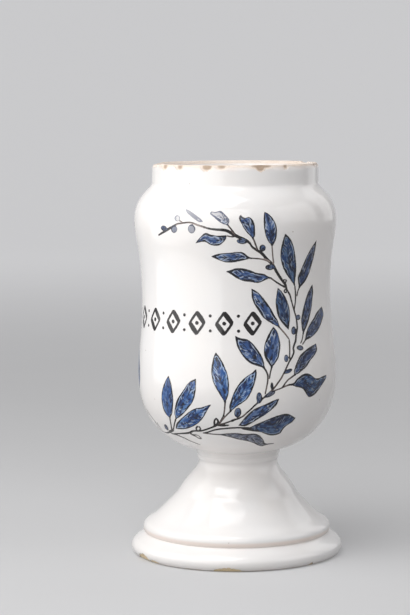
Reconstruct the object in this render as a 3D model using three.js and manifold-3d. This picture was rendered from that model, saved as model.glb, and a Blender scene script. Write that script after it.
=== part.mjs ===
// A medicine jar of tin-glazed earthenware, on a pedestal foot.
// Millimetres, +Z up. The origin is the middle of the foot, on the surface that the jar stands on, and
// the jar's front faces -Y.
//
// The potter throws the vessel and the hollow foot apart, lutes them together with slip while the clay
// is leather hard, fires them, and dips the whole in tin glaze. The resting edge and the top of the lip
// are bare clay, so the glaze is one coat outside and another inside.

import * as THREE from "three";
import { mergeVertices } from "three/addons/utils/BufferGeometryUtils.js";
import Module from "manifold-3d";

// Radii of the outline, measured over the glaze
const FLANGE_RADIUS = 62.35;
const RING_RADIUS = 55.45;
const CONE_TOP_RADIUS = 35.2;
const STEM_RADIUS = 23.3;
const COLLAR_RADIUS = 24.05;
const BELLY_RADIUS = 58.3;
const WAIST_RADIUS = 55.3;
const SHOULDER_RADIUS = 59.1;
const NECK_RADIUS = 48.7;

// Rises of the outline, each counted from the line below it
const FLANGE_RISE = 4.7;
const GROOVE_RISE = 7.9;
const RING_RISE = 2.7;
const ROLL_RISE = 6.7;
const CONE_RISE = 14;
const STEM_RISE = 18.8;
const COLLAR_RISE = 2;
const COLLAR_HEIGHT = 3.8;
const BELLY_RISE = 43.6;
const WAIST_RISE = 49;
const SHOULDER_RISE = 43;
const NECK_RISE = 21.5;
const NECK_HEIGHT = 8;
const LIP_ROUNDING = 3.5;

// Small set-backs of the outline
const REST_TUCK = 3.45;
const BARE_EDGE_TUCK = 1.38;
const GROOVE_DEPTH = 1;
const ROLL_SETBACK = 6.4;
const LIP_SETBACK = 1.4;
const GLAZE_END_SETBACK = 0.47;
const GLAZE_END_DROP = 0.7;

// Fullness of each stretch of the outline: the shares of the stretch's own width and height that its
// tangents reach, first where it leaves its lower end and then where it arrives at its upper end
const REST_EDGE_FULLNESS = [0.51, 0.24, 0, 0.51];
const FLANGE_FULLNESS = [0, 0.47, 0.215, 0.23];
const GROOVE_FULLNESS = [0.7, 0.185, 0, 0.48];
const ROLL_FULLNESS = [0, 0.49, 0.53, 0.37];
const CONE_FULLNESS = [0.256, 0.186, 0.238, 0.271];
const STEM_FULLNESS = [0.48, 0.575, 0, 0.28];
const BOWL_FULLNESS = [0.803, 0.163, 0, 0.38];
const WAIST_FULLNESS = [0, 0.367, 0, 0.51];
const SHOULDER_FULLNESS = [0, 0.58, 0, 0.233];
const NECK_FULLNESS = [0, 0.675, 0, 0.153];
const INNER_BOWL_FULLNESS = [0.737, 0.086, 0, 0.43];
const INNER_NECK_FULLNESS = [0, 0.51, 0, 0.14];

// Clay, slip and glaze
const GLAZE_THICKNESS = 0.6;
const LINING_THICKNESS = 0.5;
const BARE_EDGE_HEIGHT = 1;
const SLIP_THICKNESS = 0.8;
const BODY_WALL = 5.5;
const NECK_WALL = 3.9;
const FLOOR_THICKNESS = 6.5;
const FLOOR_RADIUS = 21;
const LIP_LAND = 2.1;
const LIP_BEVEL = 1.7;
const REST_RING_WIDTH = 8;
const FOOT_WALL = 9;
const STEM_WALL = 7.3;

// Sides of every turned solid
const TURNED_SIDES = 36;

// Chips knocked out of the edges: the turn round the axis in degrees from the front, the length along
// the edge, the drop down the outside and the depth into the wall
const LIP_CHIPS = [
  { turn: -58, length: 3.4, drop: 1.8, depth: 1 },
  { turn: -42, length: 3.6, drop: 1.7, depth: 1 },
  { turn: -21.3, length: 5, drop: 2.1, depth: 1.2 },
  { turn: -11.2, length: 4.2, drop: 1.6, depth: 1 },
  { turn: 16.2, length: 11, drop: 3.4, depth: 1.7 },
  { turn: 35.2, length: 2.6, drop: 1.7, depth: 0.9 },
  { turn: 113.7, length: 9.6, drop: 1.9, depth: 2.6 },
];
const FLANGE_CHIPS = [
  { turn: -63, length: 14, drop: 3.6, depth: 1.8 },
  { turn: -6, length: 13, drop: 1.7, depth: 1.3 },
];
const CHIPPED_GLAZE_MARGIN = 0.35;

// Levels that the rises add up to
const flangeLevel = FLANGE_RISE;
const grooveLevel = flangeLevel + GROOVE_RISE;
const ringLevel = grooveLevel + RING_RISE;
const rollLevel = ringLevel + ROLL_RISE;
const coneTopLevel = rollLevel + CONE_RISE;
const stemLevel = coneTopLevel + STEM_RISE;
const collarLevel = stemLevel + COLLAR_RISE;
const footTop = collarLevel + COLLAR_HEIGHT;
const bodyBase = footTop + SLIP_THICKNESS;
const bellyLevel = bodyBase + BELLY_RISE;
const waistLevel = bellyLevel + WAIST_RISE;
const shoulderLevel = waistLevel + SHOULDER_RISE;
const neckLevel = shoulderLevel + NECK_RISE;
const lipLevel = neckLevel + NECK_HEIGHT;
const jarHeight = lipLevel + LIP_ROUNDING;
const floorLevel = bodyBase + FLOOR_THICKNESS;

const wasm = await Module();
wasm.setup();

/** A point of an outline: its radius, and its height above the surface the jar stands on. */
const at = (radius, level) => new THREE.Vector2(radius, level);

/** The points of a smooth stretch of outline after its first, as full as its four shares say. */
function stretch(from, to, [leaveOut, leaveUp, arriveOut, arriveUp], steps) {
  const span = to.clone().sub(from);
  const leave = from.clone().add(span.clone().multiply(at(leaveOut, leaveUp)));
  const arrive = to.clone().sub(span.clone().multiply(at(arriveOut, arriveUp)));
  return new THREE.CubicBezierCurve(from, leave, arrive, to).getPoints(steps).slice(1);
}

/** The same outline moved to the left of its own direction, with its corners kept sharp. */
function shifted(points, distance) {
  const normals = points.slice(1).map((point, i) => {
    const along = point.clone().sub(points[i]).normalize();
    return at(-along.y, along.x);
  });
  return points.map((point, i) => {
    const before = normals[Math.max(i - 1, 0)];
    const after = normals[Math.min(i, normals.length - 1)];
    const mitre = before.clone().add(after);
    mitre.multiplyScalar(distance / mitre.dot(before));
    return point.clone().add(mitre);
  });
}

/** A solid turned on the jar's axis from an outline that runs up its outer side and down its inner side. */
function turned(outline) {
  const starts = outline[0].x === 0 ? outline : [...outline, outline[0]];
  return new THREE.LatheGeometry(starts, TURNED_SIDES).rotateX(Math.PI / 2);
}

/** A geometry as a solid that can be cut: only its places are kept, and equal ones become one. */
function solidOf(geometry) {
  const bare = new THREE.BufferGeometry();
  bare.setAttribute("position", geometry.getAttribute("position"));
  bare.setIndex(geometry.index);
  const merged = mergeVertices(bare, 1e-3);
  return new wasm.Manifold(
    new wasm.Mesh({
      numProp: 3,
      vertProperties: merged.getAttribute("position").array,
      triVerts: new Uint32Array(merged.index.array),
    }),
  );
}

/** The geometry that is left when the cutters are taken out of it. */
function carved(geometry, cutters) {
  const cut = cutters.reduce((solid, cutter) => solid.subtract(solidOf(cutter)), solidOf(geometry));
  const mesh = cut.getMesh();
  const left = new THREE.BufferGeometry();
  left.setAttribute("position", new THREE.BufferAttribute(mesh.vertProperties, 3));
  left.setIndex(new THREE.BufferAttribute(mesh.triVerts, 1));
  return left;
}

/** The lens of ware that a knock takes out of an edge, with a margin for the glaze that flakes round it. */
function chip({ turn, length, drop, depth }, edge, margin) {
  const lens = new THREE.IcosahedronGeometry(1, 1);
  lens.scale(length / 2 + margin, depth + margin, drop + margin);
  lens.translate(0, -edge.x, edge.y);
  return lens.rotateZ(THREE.MathUtils.degToRad(turn));
}

/** Outline of the foot over its glaze, from the bare edge up to the joint with the vessel. */
function footOutline() {
  const bareEdge = at(FLANGE_RADIUS - BARE_EDGE_TUCK, BARE_EDGE_HEIGHT);
  const flange = at(FLANGE_RADIUS, flangeLevel);
  const groove = at(RING_RADIUS - GROOVE_DEPTH, grooveLevel);
  const ring = at(RING_RADIUS, ringLevel);
  const roll = at(RING_RADIUS - ROLL_SETBACK, rollLevel);
  const coneTop = at(CONE_TOP_RADIUS, coneTopLevel);
  const stem = at(STEM_RADIUS, stemLevel);
  return [
    bareEdge,
    ...stretch(bareEdge, flange, REST_EDGE_FULLNESS, 2),
    ...stretch(flange, groove, FLANGE_FULLNESS, 4),
    ...stretch(groove, ring, GROOVE_FULLNESS, 2),
    ...stretch(ring, roll, ROLL_FULLNESS, 4),
    ...stretch(roll, coneTop, CONE_FULLNESS, 2),
    ...stretch(coneTop, stem, STEM_FULLNESS, 4),
    at(COLLAR_RADIUS, collarLevel),
    at(COLLAR_RADIUS, bodyBase),
  ];
}

/** Outline of the vessel over its glaze, from the joint up to the bare top of the lip. */
function vesselOutline() {
  const joint = at(COLLAR_RADIUS, bodyBase);
  const belly = at(BELLY_RADIUS, bellyLevel);
  const waist = at(WAIST_RADIUS, waistLevel);
  const shoulder = at(SHOULDER_RADIUS, shoulderLevel);
  const neck = at(NECK_RADIUS, neckLevel);
  const lip = at(NECK_RADIUS, lipLevel);
  const lipEdge = at(NECK_RADIUS - GLAZE_END_SETBACK, jarHeight - GLAZE_END_DROP);
  return [
    ...stretch(joint, belly, BOWL_FULLNESS, 7),
    ...stretch(belly, waist, WAIST_FULLNESS, 3),
    ...stretch(waist, shoulder, SHOULDER_FULLNESS, 4),
    ...stretch(shoulder, neck, NECK_FULLNESS, 6),
    lip,
    lipEdge,
  ];
}

/** The clay face inside the vessel, from the middle of its floor up to the lip. */
function insideOutline() {
  const clayWall = GLAZE_THICKNESS + BODY_WALL;
  const floorEdge = at(FLOOR_RADIUS, floorLevel);
  const belly = at(BELLY_RADIUS - clayWall, bellyLevel);
  const waist = at(WAIST_RADIUS - clayWall, waistLevel);
  const shoulder = at(SHOULDER_RADIUS - clayWall, shoulderLevel);
  const neck = at(NECK_RADIUS - GLAZE_THICKNESS - NECK_WALL, neckLevel);
  return [
    at(0, floorLevel),
    floorEdge,
    ...stretch(floorEdge, belly, INNER_BOWL_FULLNESS, 5),
    ...stretch(belly, waist, WAIST_FULLNESS, 2),
    ...stretch(waist, shoulder, SHOULDER_FULLNESS, 3),
    ...stretch(shoulder, neck, INNER_NECK_FULLNESS, 4),
    at(neck.x, jarHeight - LIP_BEVEL),
  ];
}

/** The hollow under the foot, from its top down to the resting ring. */
function hollowOutline(restRadius) {
  const bore = STEM_RADIUS - STEM_WALL;
  const route = new THREE.SplineCurve([
    at(bore, stemLevel),
    at(CONE_TOP_RADIUS - FOOT_WALL, coneTopLevel),
    at(RING_RADIUS - FOOT_WALL, ringLevel),
    at(restRadius - REST_RING_WIDTH, 0),
  ]);
  return [at(bore, footTop), ...route.getPoints(7)];
}

const footSkin = footOutline();
const skin = [...footSkin, ...vesselOutline()];
const core = shifted(skin, GLAZE_THICKNESS);
const jointCorner = core[footSkin.length - 1];
const footCore = core.slice(0, footSkin.length - 1);
const vesselCore = core.slice(footSkin.length);
const inside = insideOutline();
const lining = shifted(inside, LINING_THICKNESS);

const restRadius = FLANGE_RADIUS - REST_TUCK;
const landRadius = NECK_RADIUS - LIP_SETBACK;
const hollow = hollowOutline(restRadius);
const slipOuter = jointCorner.x;
const slipInner = hollow[0].x;

const clayFootOutline = [at(restRadius, 0), ...footCore, at(slipOuter, footTop), ...hollow];
const slipOutline = [
  at(slipInner, footTop),
  at(slipOuter, footTop),
  at(slipOuter, bodyBase),
  at(slipInner, bodyBase),
];
const clayBodyOutline = [
  at(0, bodyBase),
  at(slipOuter, bodyBase),
  jointCorner,
  ...vesselCore,
  at(landRadius, jarHeight),
  at(landRadius - LIP_LAND, jarHeight),
  ...[...inside].reverse(),
];
const outerGlazeOutline = [
  ...skin,
  ...[...vesselCore].reverse(),
  jointCorner,
  at(slipOuter, bodyBase),
  at(slipOuter, footTop),
  ...[...footCore].reverse(),
];
const innerGlazeOutline = [...inside, ...[...lining].reverse()];

// Each chip is centred on the sharp edge that was knocked
const lipEdge = at(NECK_RADIUS, jarHeight);
const flangeEdge = at(FLANGE_RADIUS, BARE_EDGE_HEIGHT);
const chips = (margin) => ({
  lip: LIP_CHIPS.map((knock) => chip(knock, lipEdge, margin)),
  flange: FLANGE_CHIPS.map((knock) => chip(knock, flangeEdge, margin)),
});
const clayChips = chips(0);
const glazeChips = chips(CHIPPED_GLAZE_MARGIN);

const bareClay = { color: 0xc8a882, roughness: 0.9, metalness: 0 };
const driedSlip = { color: 0xb8926a, roughness: 0.95, metalness: 0 };
const tinGlaze = { color: 0xf0eeea, roughness: 0.12, metalness: 0 };

const jar = new THREE.Group();
jar.name = "medicine_jar";

/** Adds one piece of the jar under the name a potter would use. */
function addPiece(name, geometry, finish) {
  const piece = new THREE.Mesh(geometry, new THREE.MeshStandardMaterial(finish));
  piece.name = name;
  jar.add(piece);
}

addPiece("clay_foot", carved(turned(clayFootOutline), clayChips.flange), bareClay);
addPiece("luting_slip", turned(slipOutline), driedSlip);
addPiece("clay_body", carved(turned(clayBodyOutline), clayChips.lip), bareClay);
addPiece(
  "outer_glaze",
  carved(turned(outerGlazeOutline), [...glazeChips.lip, ...glazeChips.flange]),
  tinGlaze,
);
addPiece("inner_glaze", carved(turned(innerGlazeOutline), clayChips.lip), tinGlaze);

export default jar;
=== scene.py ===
"""The looks of a tin-glazed earthenware medicine jar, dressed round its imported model.

Sizes are in millimetres, as on a potter's card, and go into the meshes in metres. An angle round the
jar is counted from its front (-Y), positive towards +X, in degrees where it's written and in radians
where it's worked with. Places in the picture are in its own pixels, 410 wide and 615 high.
"""

import logging
import math
from dataclasses import dataclass, field
from enum import Enum
from functools import cached_property
from typing import Any, Iterable, Sequence

import bmesh
import bpy
import numpy as np
from mathutils import Matrix, Vector


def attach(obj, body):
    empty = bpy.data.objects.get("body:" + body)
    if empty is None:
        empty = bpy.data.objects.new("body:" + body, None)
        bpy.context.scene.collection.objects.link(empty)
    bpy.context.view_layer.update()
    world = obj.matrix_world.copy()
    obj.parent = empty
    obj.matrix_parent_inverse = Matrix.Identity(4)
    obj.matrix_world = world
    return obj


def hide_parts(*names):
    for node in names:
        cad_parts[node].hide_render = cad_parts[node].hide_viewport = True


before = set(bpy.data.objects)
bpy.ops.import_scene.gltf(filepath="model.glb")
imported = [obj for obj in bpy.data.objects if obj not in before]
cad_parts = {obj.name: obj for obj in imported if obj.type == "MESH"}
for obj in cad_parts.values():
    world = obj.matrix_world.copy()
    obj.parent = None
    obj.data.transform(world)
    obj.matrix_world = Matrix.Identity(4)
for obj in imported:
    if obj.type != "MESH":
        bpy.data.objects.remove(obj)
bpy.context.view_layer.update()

LOG = logging.getLogger("medicine_jar")

MM = 0.001
BODY = "root"
TINY = 1e-12
WELD = 1e-4
QUARTERS = (0.0, 0.25, 0.5, 0.75, 1.0)

Pixel = tuple[float, float]
Point = tuple[float, float]
Triple = tuple[float, float, float]
Colour = Triple
# What goes into a node's input: another node's output, or a value
Feed = Any


class Slot(Enum):
    """Names of the record's material slots; each film holds one."""

    CLAY = "clay"
    GLAZE = "glaze"
    COBALT = "cobalt_paint"
    MANGANESE = "manganese_paint"


# The turned form


@dataclass(frozen=True)
class Stretch:
    """One smooth stretch of a turned outline.

    Attributes:
        radius: Radius at its upper end.
        level: Height of its upper end above the table.
        fullness: Shares of its width and height that its tangents reach, leaving and arriving.
        rings: Number of rings that it's turned from.
    """

    radius: float
    level: float
    fullness: tuple[float, float, float, float]
    rings: int


def drawn(start: Point, stretches: Iterable[Stretch]) -> list[Point]:
    """Points of an outline.

    Args:
        start: Its lowest point, as radius and level.
        stretches: The stretches above it, in order.

    Returns:
        Its points as pairs of radius and level.
    """
    points = [start]
    for part in stretches:
        low, high = np.array(points[-1]), np.array((part.radius, part.level))
        span = high - low
        leave = low + span * part.fullness[:2]
        arrive = high - span * part.fullness[2:]
        for step in range(1, part.rings + 1):
            t = step / part.rings
            s = 1 - t
            place = s**3 * low + 3 * s * s * t * leave + 3 * s * t * t * arrive + t**3 * high
            points.append((float(place[0]), float(place[1])))
    return points


def headings(line: np.ndarray) -> tuple[np.ndarray, np.ndarray]:
    """Which way a line runs at each of its points, and which way its left side faces."""
    along = np.gradient(line, axis=0)
    along /= np.maximum(np.linalg.norm(along, axis=1), TINY)[:, None]
    return along, np.stack((-along[:, 1], along[:, 0]), axis=1)


def shifted(points: Sequence[Point], distance: float) -> list[Point]:
    """The same outline moved to the left of its own direction.

    Args:
        points: The outline.
        distance: How far it moves, in millimetres.

    Returns:
        The moved outline, with as many points.
    """
    line = np.array(points)
    along = np.diff(line, axis=0)
    along /= np.linalg.norm(along, axis=1)[:, None]
    normals = np.stack((-along[:, 1], along[:, 0]), axis=1)
    before = np.vstack((normals[:1], normals))
    after = np.vstack((normals, normals[-1:]))
    mitre = before + after
    mitre *= (distance / np.sum(mitre * before, axis=1))[:, None]
    return [(float(r), float(z)) for r, z in line + mitre]


# How square a chip is along its edge, and how ragged
CHIP_SQUARENESS = 2.2
CHIP_RAGGED = 0.16


@dataclass(frozen=True)
class Knock:
    """A knock on an edge of the ware.

    Attributes:
        turn: Where it is round the jar, in degrees.
        length: Its length along the edge.
        drop: How far it reaches from the edge along the wall.
        depth: How far it bites into the wall.
        fresh: How dark its far edge is, as dirt and as painted shade under the broken edge of the glaze: 0 is
            rubbed clean, 1 is broken and stained.
        ends: How steeply it ends along the edge: 0.5 is a break, above 1 is wear.
    """

    turn: float
    length: float
    drop: float
    depth: float
    fresh: float = 1.0
    ends: float = 0.5

    def share(self, azimuth: np.ndarray, radius: float, margin: float = 0.0) -> np.ndarray:
        """How far along the knock each angle is, where 1 is its end.

        Args:
            azimuth: The angles round the jar.
            radius: Radius of the knocked edge.
            margin: Extra room at the ends.

        Returns:
            The shares of the half length, always positive.
        """
        away = (azimuth - math.radians(self.turn) + math.pi) % math.tau - math.pi
        return np.abs(away) * radius / (self.length / 2 + margin)

    def bite(self, share: np.ndarray) -> np.ndarray:
        """How much of its full bite is left at each share of its half length."""
        return (1 - share**CHIP_SQUARENESS) ** self.ends


@dataclass(frozen=True)
class JarForm:
    """The turned form of the jar, and the small strays of the hand that threw it.

    Attributes:
        height: Level of the lip.
        glaze, lining: How thick the glaze is outside and inside.
        neck_wall: How thick the clay of the neck is.
        floor_level, floor_radius: The floor inside.
        foot_top, joint_level: Where the clay of the foot ends and that of the vessel starts.
        rest_radius: Outer radius of the ring that the jar rests on.
        land_radius, land_width: The lip's flat top, as its outer radius and its width.
        neck_radius, flange_radius: Radii of the edges that are knocked, at the lip and at the base.
        glaze_end: Where the outer glaze ends below the lip.
        bare_edge: Where the outline leaves the bare resting edge.
        glaze_foot: The lowest place that the glaze runs down to.
        crown: Where the outline would end on the lip if the glaze went on.
        hollow: The hollow under the foot, from its top down.
        foot, vessel: The glazed outline from the bare edge up to the joint, and on to the lip.
        lip_knocks, flange_knocks: The knocks on both edges.
        lean: How far the jar's middle strays to the right, level by level.
        waver: How far the wall strays.
        waves: Waves of that stray: how many go round, how they climb, where they start, and their shares.
        waver_length: How far up the wall a wave's climb is counted.
        steady_level: Level below which the wall strays less.
        steady_radius: Radius within which the floor strays less.
    """

    height: float = 230.0
    glaze: float = 0.6
    lining: float = 0.5
    neck_wall: float = 3.9
    floor_level: float = 67.9
    floor_radius: float = 21.0
    foot_top: float = 60.6
    joint_level: float = 61.4
    rest_radius: float = 58.9
    land_radius: float = 47.3
    land_width: float = 2.1
    neck_radius: float = 48.7
    flange_radius: float = 62.35
    glaze_end: Point = (48.23, 229.3)
    bare_edge: Point = (60.97, 1.0)
    glaze_foot: Point = (60.3, 0.25)
    crown: Point = (47.33, 230.01)
    hollow: tuple[Point, ...] = ((16.0, 54.8), (26.2, 36.0), (46.45, 15.3), (50.9, 0.0))
    foot: tuple[Stretch, ...] = (
        Stretch(62.35, 4.7, (0.51, 0.24, 0, 0.51), 10),
        Stretch(54.45, 12.6, (0, 0.47, 0.215, 0.23), 16),
        Stretch(55.45, 15.3, (0.7, 0.185, 0, 0.48), 6),
        Stretch(49.05, 22.0, (0, 0.49, 0.53, 0.37), 12),
        Stretch(35.2, 36.0, (0.256, 0.186, 0.238, 0.271), 10),
        Stretch(23.3, 54.8, (0.48, 0.575, 0, 0.28), 18),
        Stretch(24.05, 56.8, (0, 0.4, 0.1, 0.4), 4),
        Stretch(24.05, 61.4, (0, 0.33, 0, 0.33), 4),
    )
    vessel: tuple[Stretch, ...] = (
        Stretch(58.3, 105.0, (0.803, 0.163, 0, 0.38), 40),
        Stretch(55.3, 154.0, (0, 0.367, 0, 0.51), 22),
        Stretch(59.1, 197.0, (0, 0.58, 0, 0.233), 22),
        Stretch(48.7, 218.5, (0, 0.675, 0, 0.153), 22),
        Stretch(48.7, 226.5, (0, 0.33, 0, 0.33), 8),
        Stretch(48.23, 229.3, (0, 0.5, 0.4, 0.3), 8),
    )
    lip_knocks: tuple[Knock, ...] = (
        Knock(-90, 54, 1.0, 6.0, 0.0, 1.6),
        Knock(-58, 6.4, 2.1, 0.9),
        Knock(-42, 5.8, 2.0, 0.9),
        Knock(-20.4, 7.0, 2.1, 1.1),
        Knock(-10.2, 6.0, 1.5, 0.9),
        Knock(17.2, 13.4, 1.1, 1.0),
        Knock(16.2, 6.4, 2.6, 1.5, 1.0, 0.8),
        Knock(35.2, 3.2, 1.5, 0.9),
        Knock(70, 2.4, 1.2, 0.8),
        Knock(80, 3.0, 1.4, 0.9),
        Knock(114, 15.0, 1.1, 6.0, 0.0, 1.0),
    )
    flange_knocks: tuple[Knock, ...] = (
        Knock(-63, 13.0, 3.2, 1.6),
        Knock(-52, 9.0, 1.0, 1.0),
        Knock(-6.0, 15.5, 1.8, 1.4),
        Knock(44, 2.4, 1.4, 0.8),
    )
    lean: tuple[Point, ...] = (
        (0, 0.0), (27, 0.0), (48, 0.7), (60, 1.1), (84, 0.75),
        (105, 0.55), (143, 0.2), (185, -0.2), (230, -0.1),
    )
    waver: float = 0.12
    waves: tuple[tuple[int, float, float, float], ...] = (
        (2, 1.0, 0.7, 1.0), (3, -1.7, 2.1, 0.6), (1, 2.6, 4.0, 0.5), (5, 3.9, 1.2, 0.3),
    )
    waver_length: float = 42.0
    steady_level: float = 12.0
    steady_radius: float = 20.0

    @cached_property
    def foot_skin(self) -> list[Point]:
        """The glazed outline of the foot, from its bare edge up to the joint."""
        return drawn(self.bare_edge, self.foot)

    @cached_property
    def vessel_skin(self) -> list[Point]:
        """The glazed outline of the vessel, from the joint up to its lip."""
        return drawn(self.foot_skin[-1], self.vessel)

    @cached_property
    def skin(self) -> list[Point]:
        """The whole glazed outline."""
        return self.foot_skin + self.vessel_skin[1:]

    @cached_property
    def route(self) -> np.ndarray:
        """Level, radius and length travelled up the glazed outline, in close steps."""
        line = np.vstack((self.glaze_foot, self.skin, self.crown))
        travelled = np.concatenate(([0.0], np.cumsum(np.linalg.norm(np.diff(line, axis=0), axis=1))))
        return np.stack((line[:, 1], line[:, 0], travelled))

    def radius_at(self, level: Any) -> Any:
        """Radius of the glazed outline at a level, or at each of an array of levels."""
        return np.interp(level, self.route[0], self.route[1])

    def travel_at(self, level: Any) -> Any:
        """Length travelled up the outline to a level."""
        return np.interp(level, self.route[0], self.route[2])

    def level_at(self, travel: Any) -> Any:
        """Level that is reached after a length travelled up the outline."""
        return np.interp(travel, self.route[2], self.route[0])

    def lean_at(self, level: Any) -> Any:
        """How far the jar's middle strays sideways at a level."""
        levels, strays = zip(*self.lean)
        return np.interp(level, levels, strays)

    def waver_at(self, azimuth: np.ndarray, level: np.ndarray) -> np.ndarray:
        """How far the hand-made wall strays from the true form, in millimetres."""
        rise = level / self.waver_length
        wave = 0.0
        for count, climb, start, share in self.waves:
            wave = wave + share * np.sin(count * azimuth + climb * rise + start)
        return self.waver * wave * np.minimum(1.0, level / self.steady_level)

    def place(self, azimuth: np.ndarray, radius: np.ndarray, level: np.ndarray) -> np.ndarray:
        """Where points of the true turned form lie on the hand-made jar.

        Args:
            azimuth: Their angles round the jar.
            radius: Their radii on the true form.
            level: Their levels.

        Returns:
            Their places in metres, one row each.
        """
        strayed = radius + self.waver_at(azimuth, level) * np.minimum(1.0, radius / self.steady_radius)
        across = strayed * np.sin(azimuth) + self.lean_at(level)
        return np.stack((across, -strayed * np.cos(azimuth), level), axis=-1) * MM

    def on_glaze(self, azimuth: np.ndarray, level: np.ndarray, proud: Any) -> np.ndarray:
        """Places a little above or below the glazed surface.

        Args:
            azimuth: Their angles round the jar.
            level: Their levels on the glazed outline.
            proud: Distance out of the surface, in millimetres.

        Returns:
            The places in metres, one row each.
        """
        rise = 0.2
        slope = (self.radius_at(level + rise) - self.radius_at(level - rise)) / (2 * rise)
        steep = np.hypot(1, slope)
        return self.place(azimuth, self.radius_at(level) + proud / steep, level - proud * slope / steep)

    def normal(self, azimuth: np.ndarray, level: np.ndarray) -> np.ndarray:
        """Outward directions of the glazed surface, one row for each angle and level."""
        turn, rise = 0.01, 0.5
        across = self.on_glaze(azimuth + turn, level, 0) - self.on_glaze(azimuth - turn, level, 0)
        up = self.on_glaze(azimuth, level + rise, 0) - self.on_glaze(azimuth, level - rise, 0)
        outward = np.cross(across, up)
        return outward / np.linalg.norm(outward, axis=-1, keepdims=True)

    def notch(self, knocks: Sequence[Knock], radius: float, azimuth: np.ndarray, margin: float) -> np.ndarray:
        """How far an edge is eaten back at each angle.

        Args:
            knocks: The knocks on that edge.
            radius: Radius of the edge.
            azimuth: The angles round the jar.
            margin: Extra that flakes off with each knock.

        Returns:
            The loss in millimetres.
        """
        ragged = np.sin(83 * azimuth) * np.sin(37 * azimuth + 1) + 0.6 * np.sin(149 * azimuth + 2)
        loss = np.zeros_like(azimuth)
        for knock in knocks:
            share = np.minimum(knock.share(azimuth, radius, margin), 1.0)
            loss = np.maximum(loss, (knock.drop + margin) * knock.bite(share) * (1 + CHIP_RAGGED * ragged))
        return loss


FORM = JarForm()


# Meshes


def spun(outline: Sequence[Point], sides: int, closed: bool) -> bmesh.types.BMesh:
    """A solid turned from an outline on the jar's axis.

    Args:
        outline: Pairs of radius and level, in millimetres.
        sides: Number of sides of the turned form.
        closed: Whether the outline's last point joins its first.

    Returns:
        The turned mesh, still true and in millimetres.
    """
    bm = bmesh.new()
    rings = [*outline, outline[0]] if closed else list(outline)
    steps = len(rings) - 1
    verts = bmesh.ops.create_grid(bm, x_segments=sides, y_segments=steps, size=1)["verts"]
    for vert in verts:
        turn = (vert.co.x + 1) * math.pi
        radius, level = rings[round((vert.co.y + 1) / 2 * steps)]
        vert.co = (radius * math.sin(turn), -radius * math.cos(turn), level)
    bmesh.ops.remove_doubles(bm, verts=bm.verts, dist=WELD)
    bmesh.ops.recalc_face_normals(bm, faces=bm.faces)
    return bm


def turned_places(bm: bmesh.types.BMesh) -> tuple[np.ndarray, np.ndarray, np.ndarray]:
    """Angle, radius and level of each vertex of a true turned mesh."""
    x, y, level = np.array([vert.co[:] for vert in bm.verts]).T
    return np.arctan2(x, -y), np.hypot(x, y), level


def settle(bm: bmesh.types.BMesh, azimuth: np.ndarray, radius: np.ndarray, level: np.ndarray) -> None:
    """Moves each vertex of a turned mesh to its place on the hand-made jar, in metres."""
    for vert, place in zip(bm.verts, FORM.place(azimuth, radius, level)):
        vert.co = place


def put(name: str, data: bpy.types.ID) -> bpy.types.Object:
    """Puts a mesh, a light or a camera in the scene."""
    made = bpy.data.objects.new(name, data)
    bpy.context.scene.collection.objects.link(made)
    return made


def put_mesh(name: str, bm: bmesh.types.BMesh, material: bpy.types.Material) -> bpy.types.Object:
    """Puts a smooth mesh of one material in the scene, and frees what it was made from."""
    mesh = bpy.data.meshes.new(name)
    bm.to_mesh(mesh)
    bm.free()
    mesh.shade_smooth()
    mesh.materials.append(material)
    return put(name, mesh)


def piece(name: str, bm: bmesh.types.BMesh, material: bpy.types.Material) -> bpy.types.Object:
    """Makes a finished piece that rides on the jar.

    Args:
        name: The piece's name.
        bm: Its mesh, which is used up.
        material: Its material.

    Returns:
        The piece's object.
    """
    made = put_mesh(name, bm, material)
    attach(made, BODY)
    LOG.info("%s: %d faces", name, len(made.data.polygons))
    return made


# Shader nodes


# Where a value starts and stops to ease, and what it eases from and to
Ease = tuple[float, float, float, float]


@dataclass(frozen=True)
class Grain:
    """A cloudy pattern: its clouds in one unit of what it follows, its layers and how rough they are."""

    scale: float
    detail: float = 2
    roughness: float = 0.5


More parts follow.
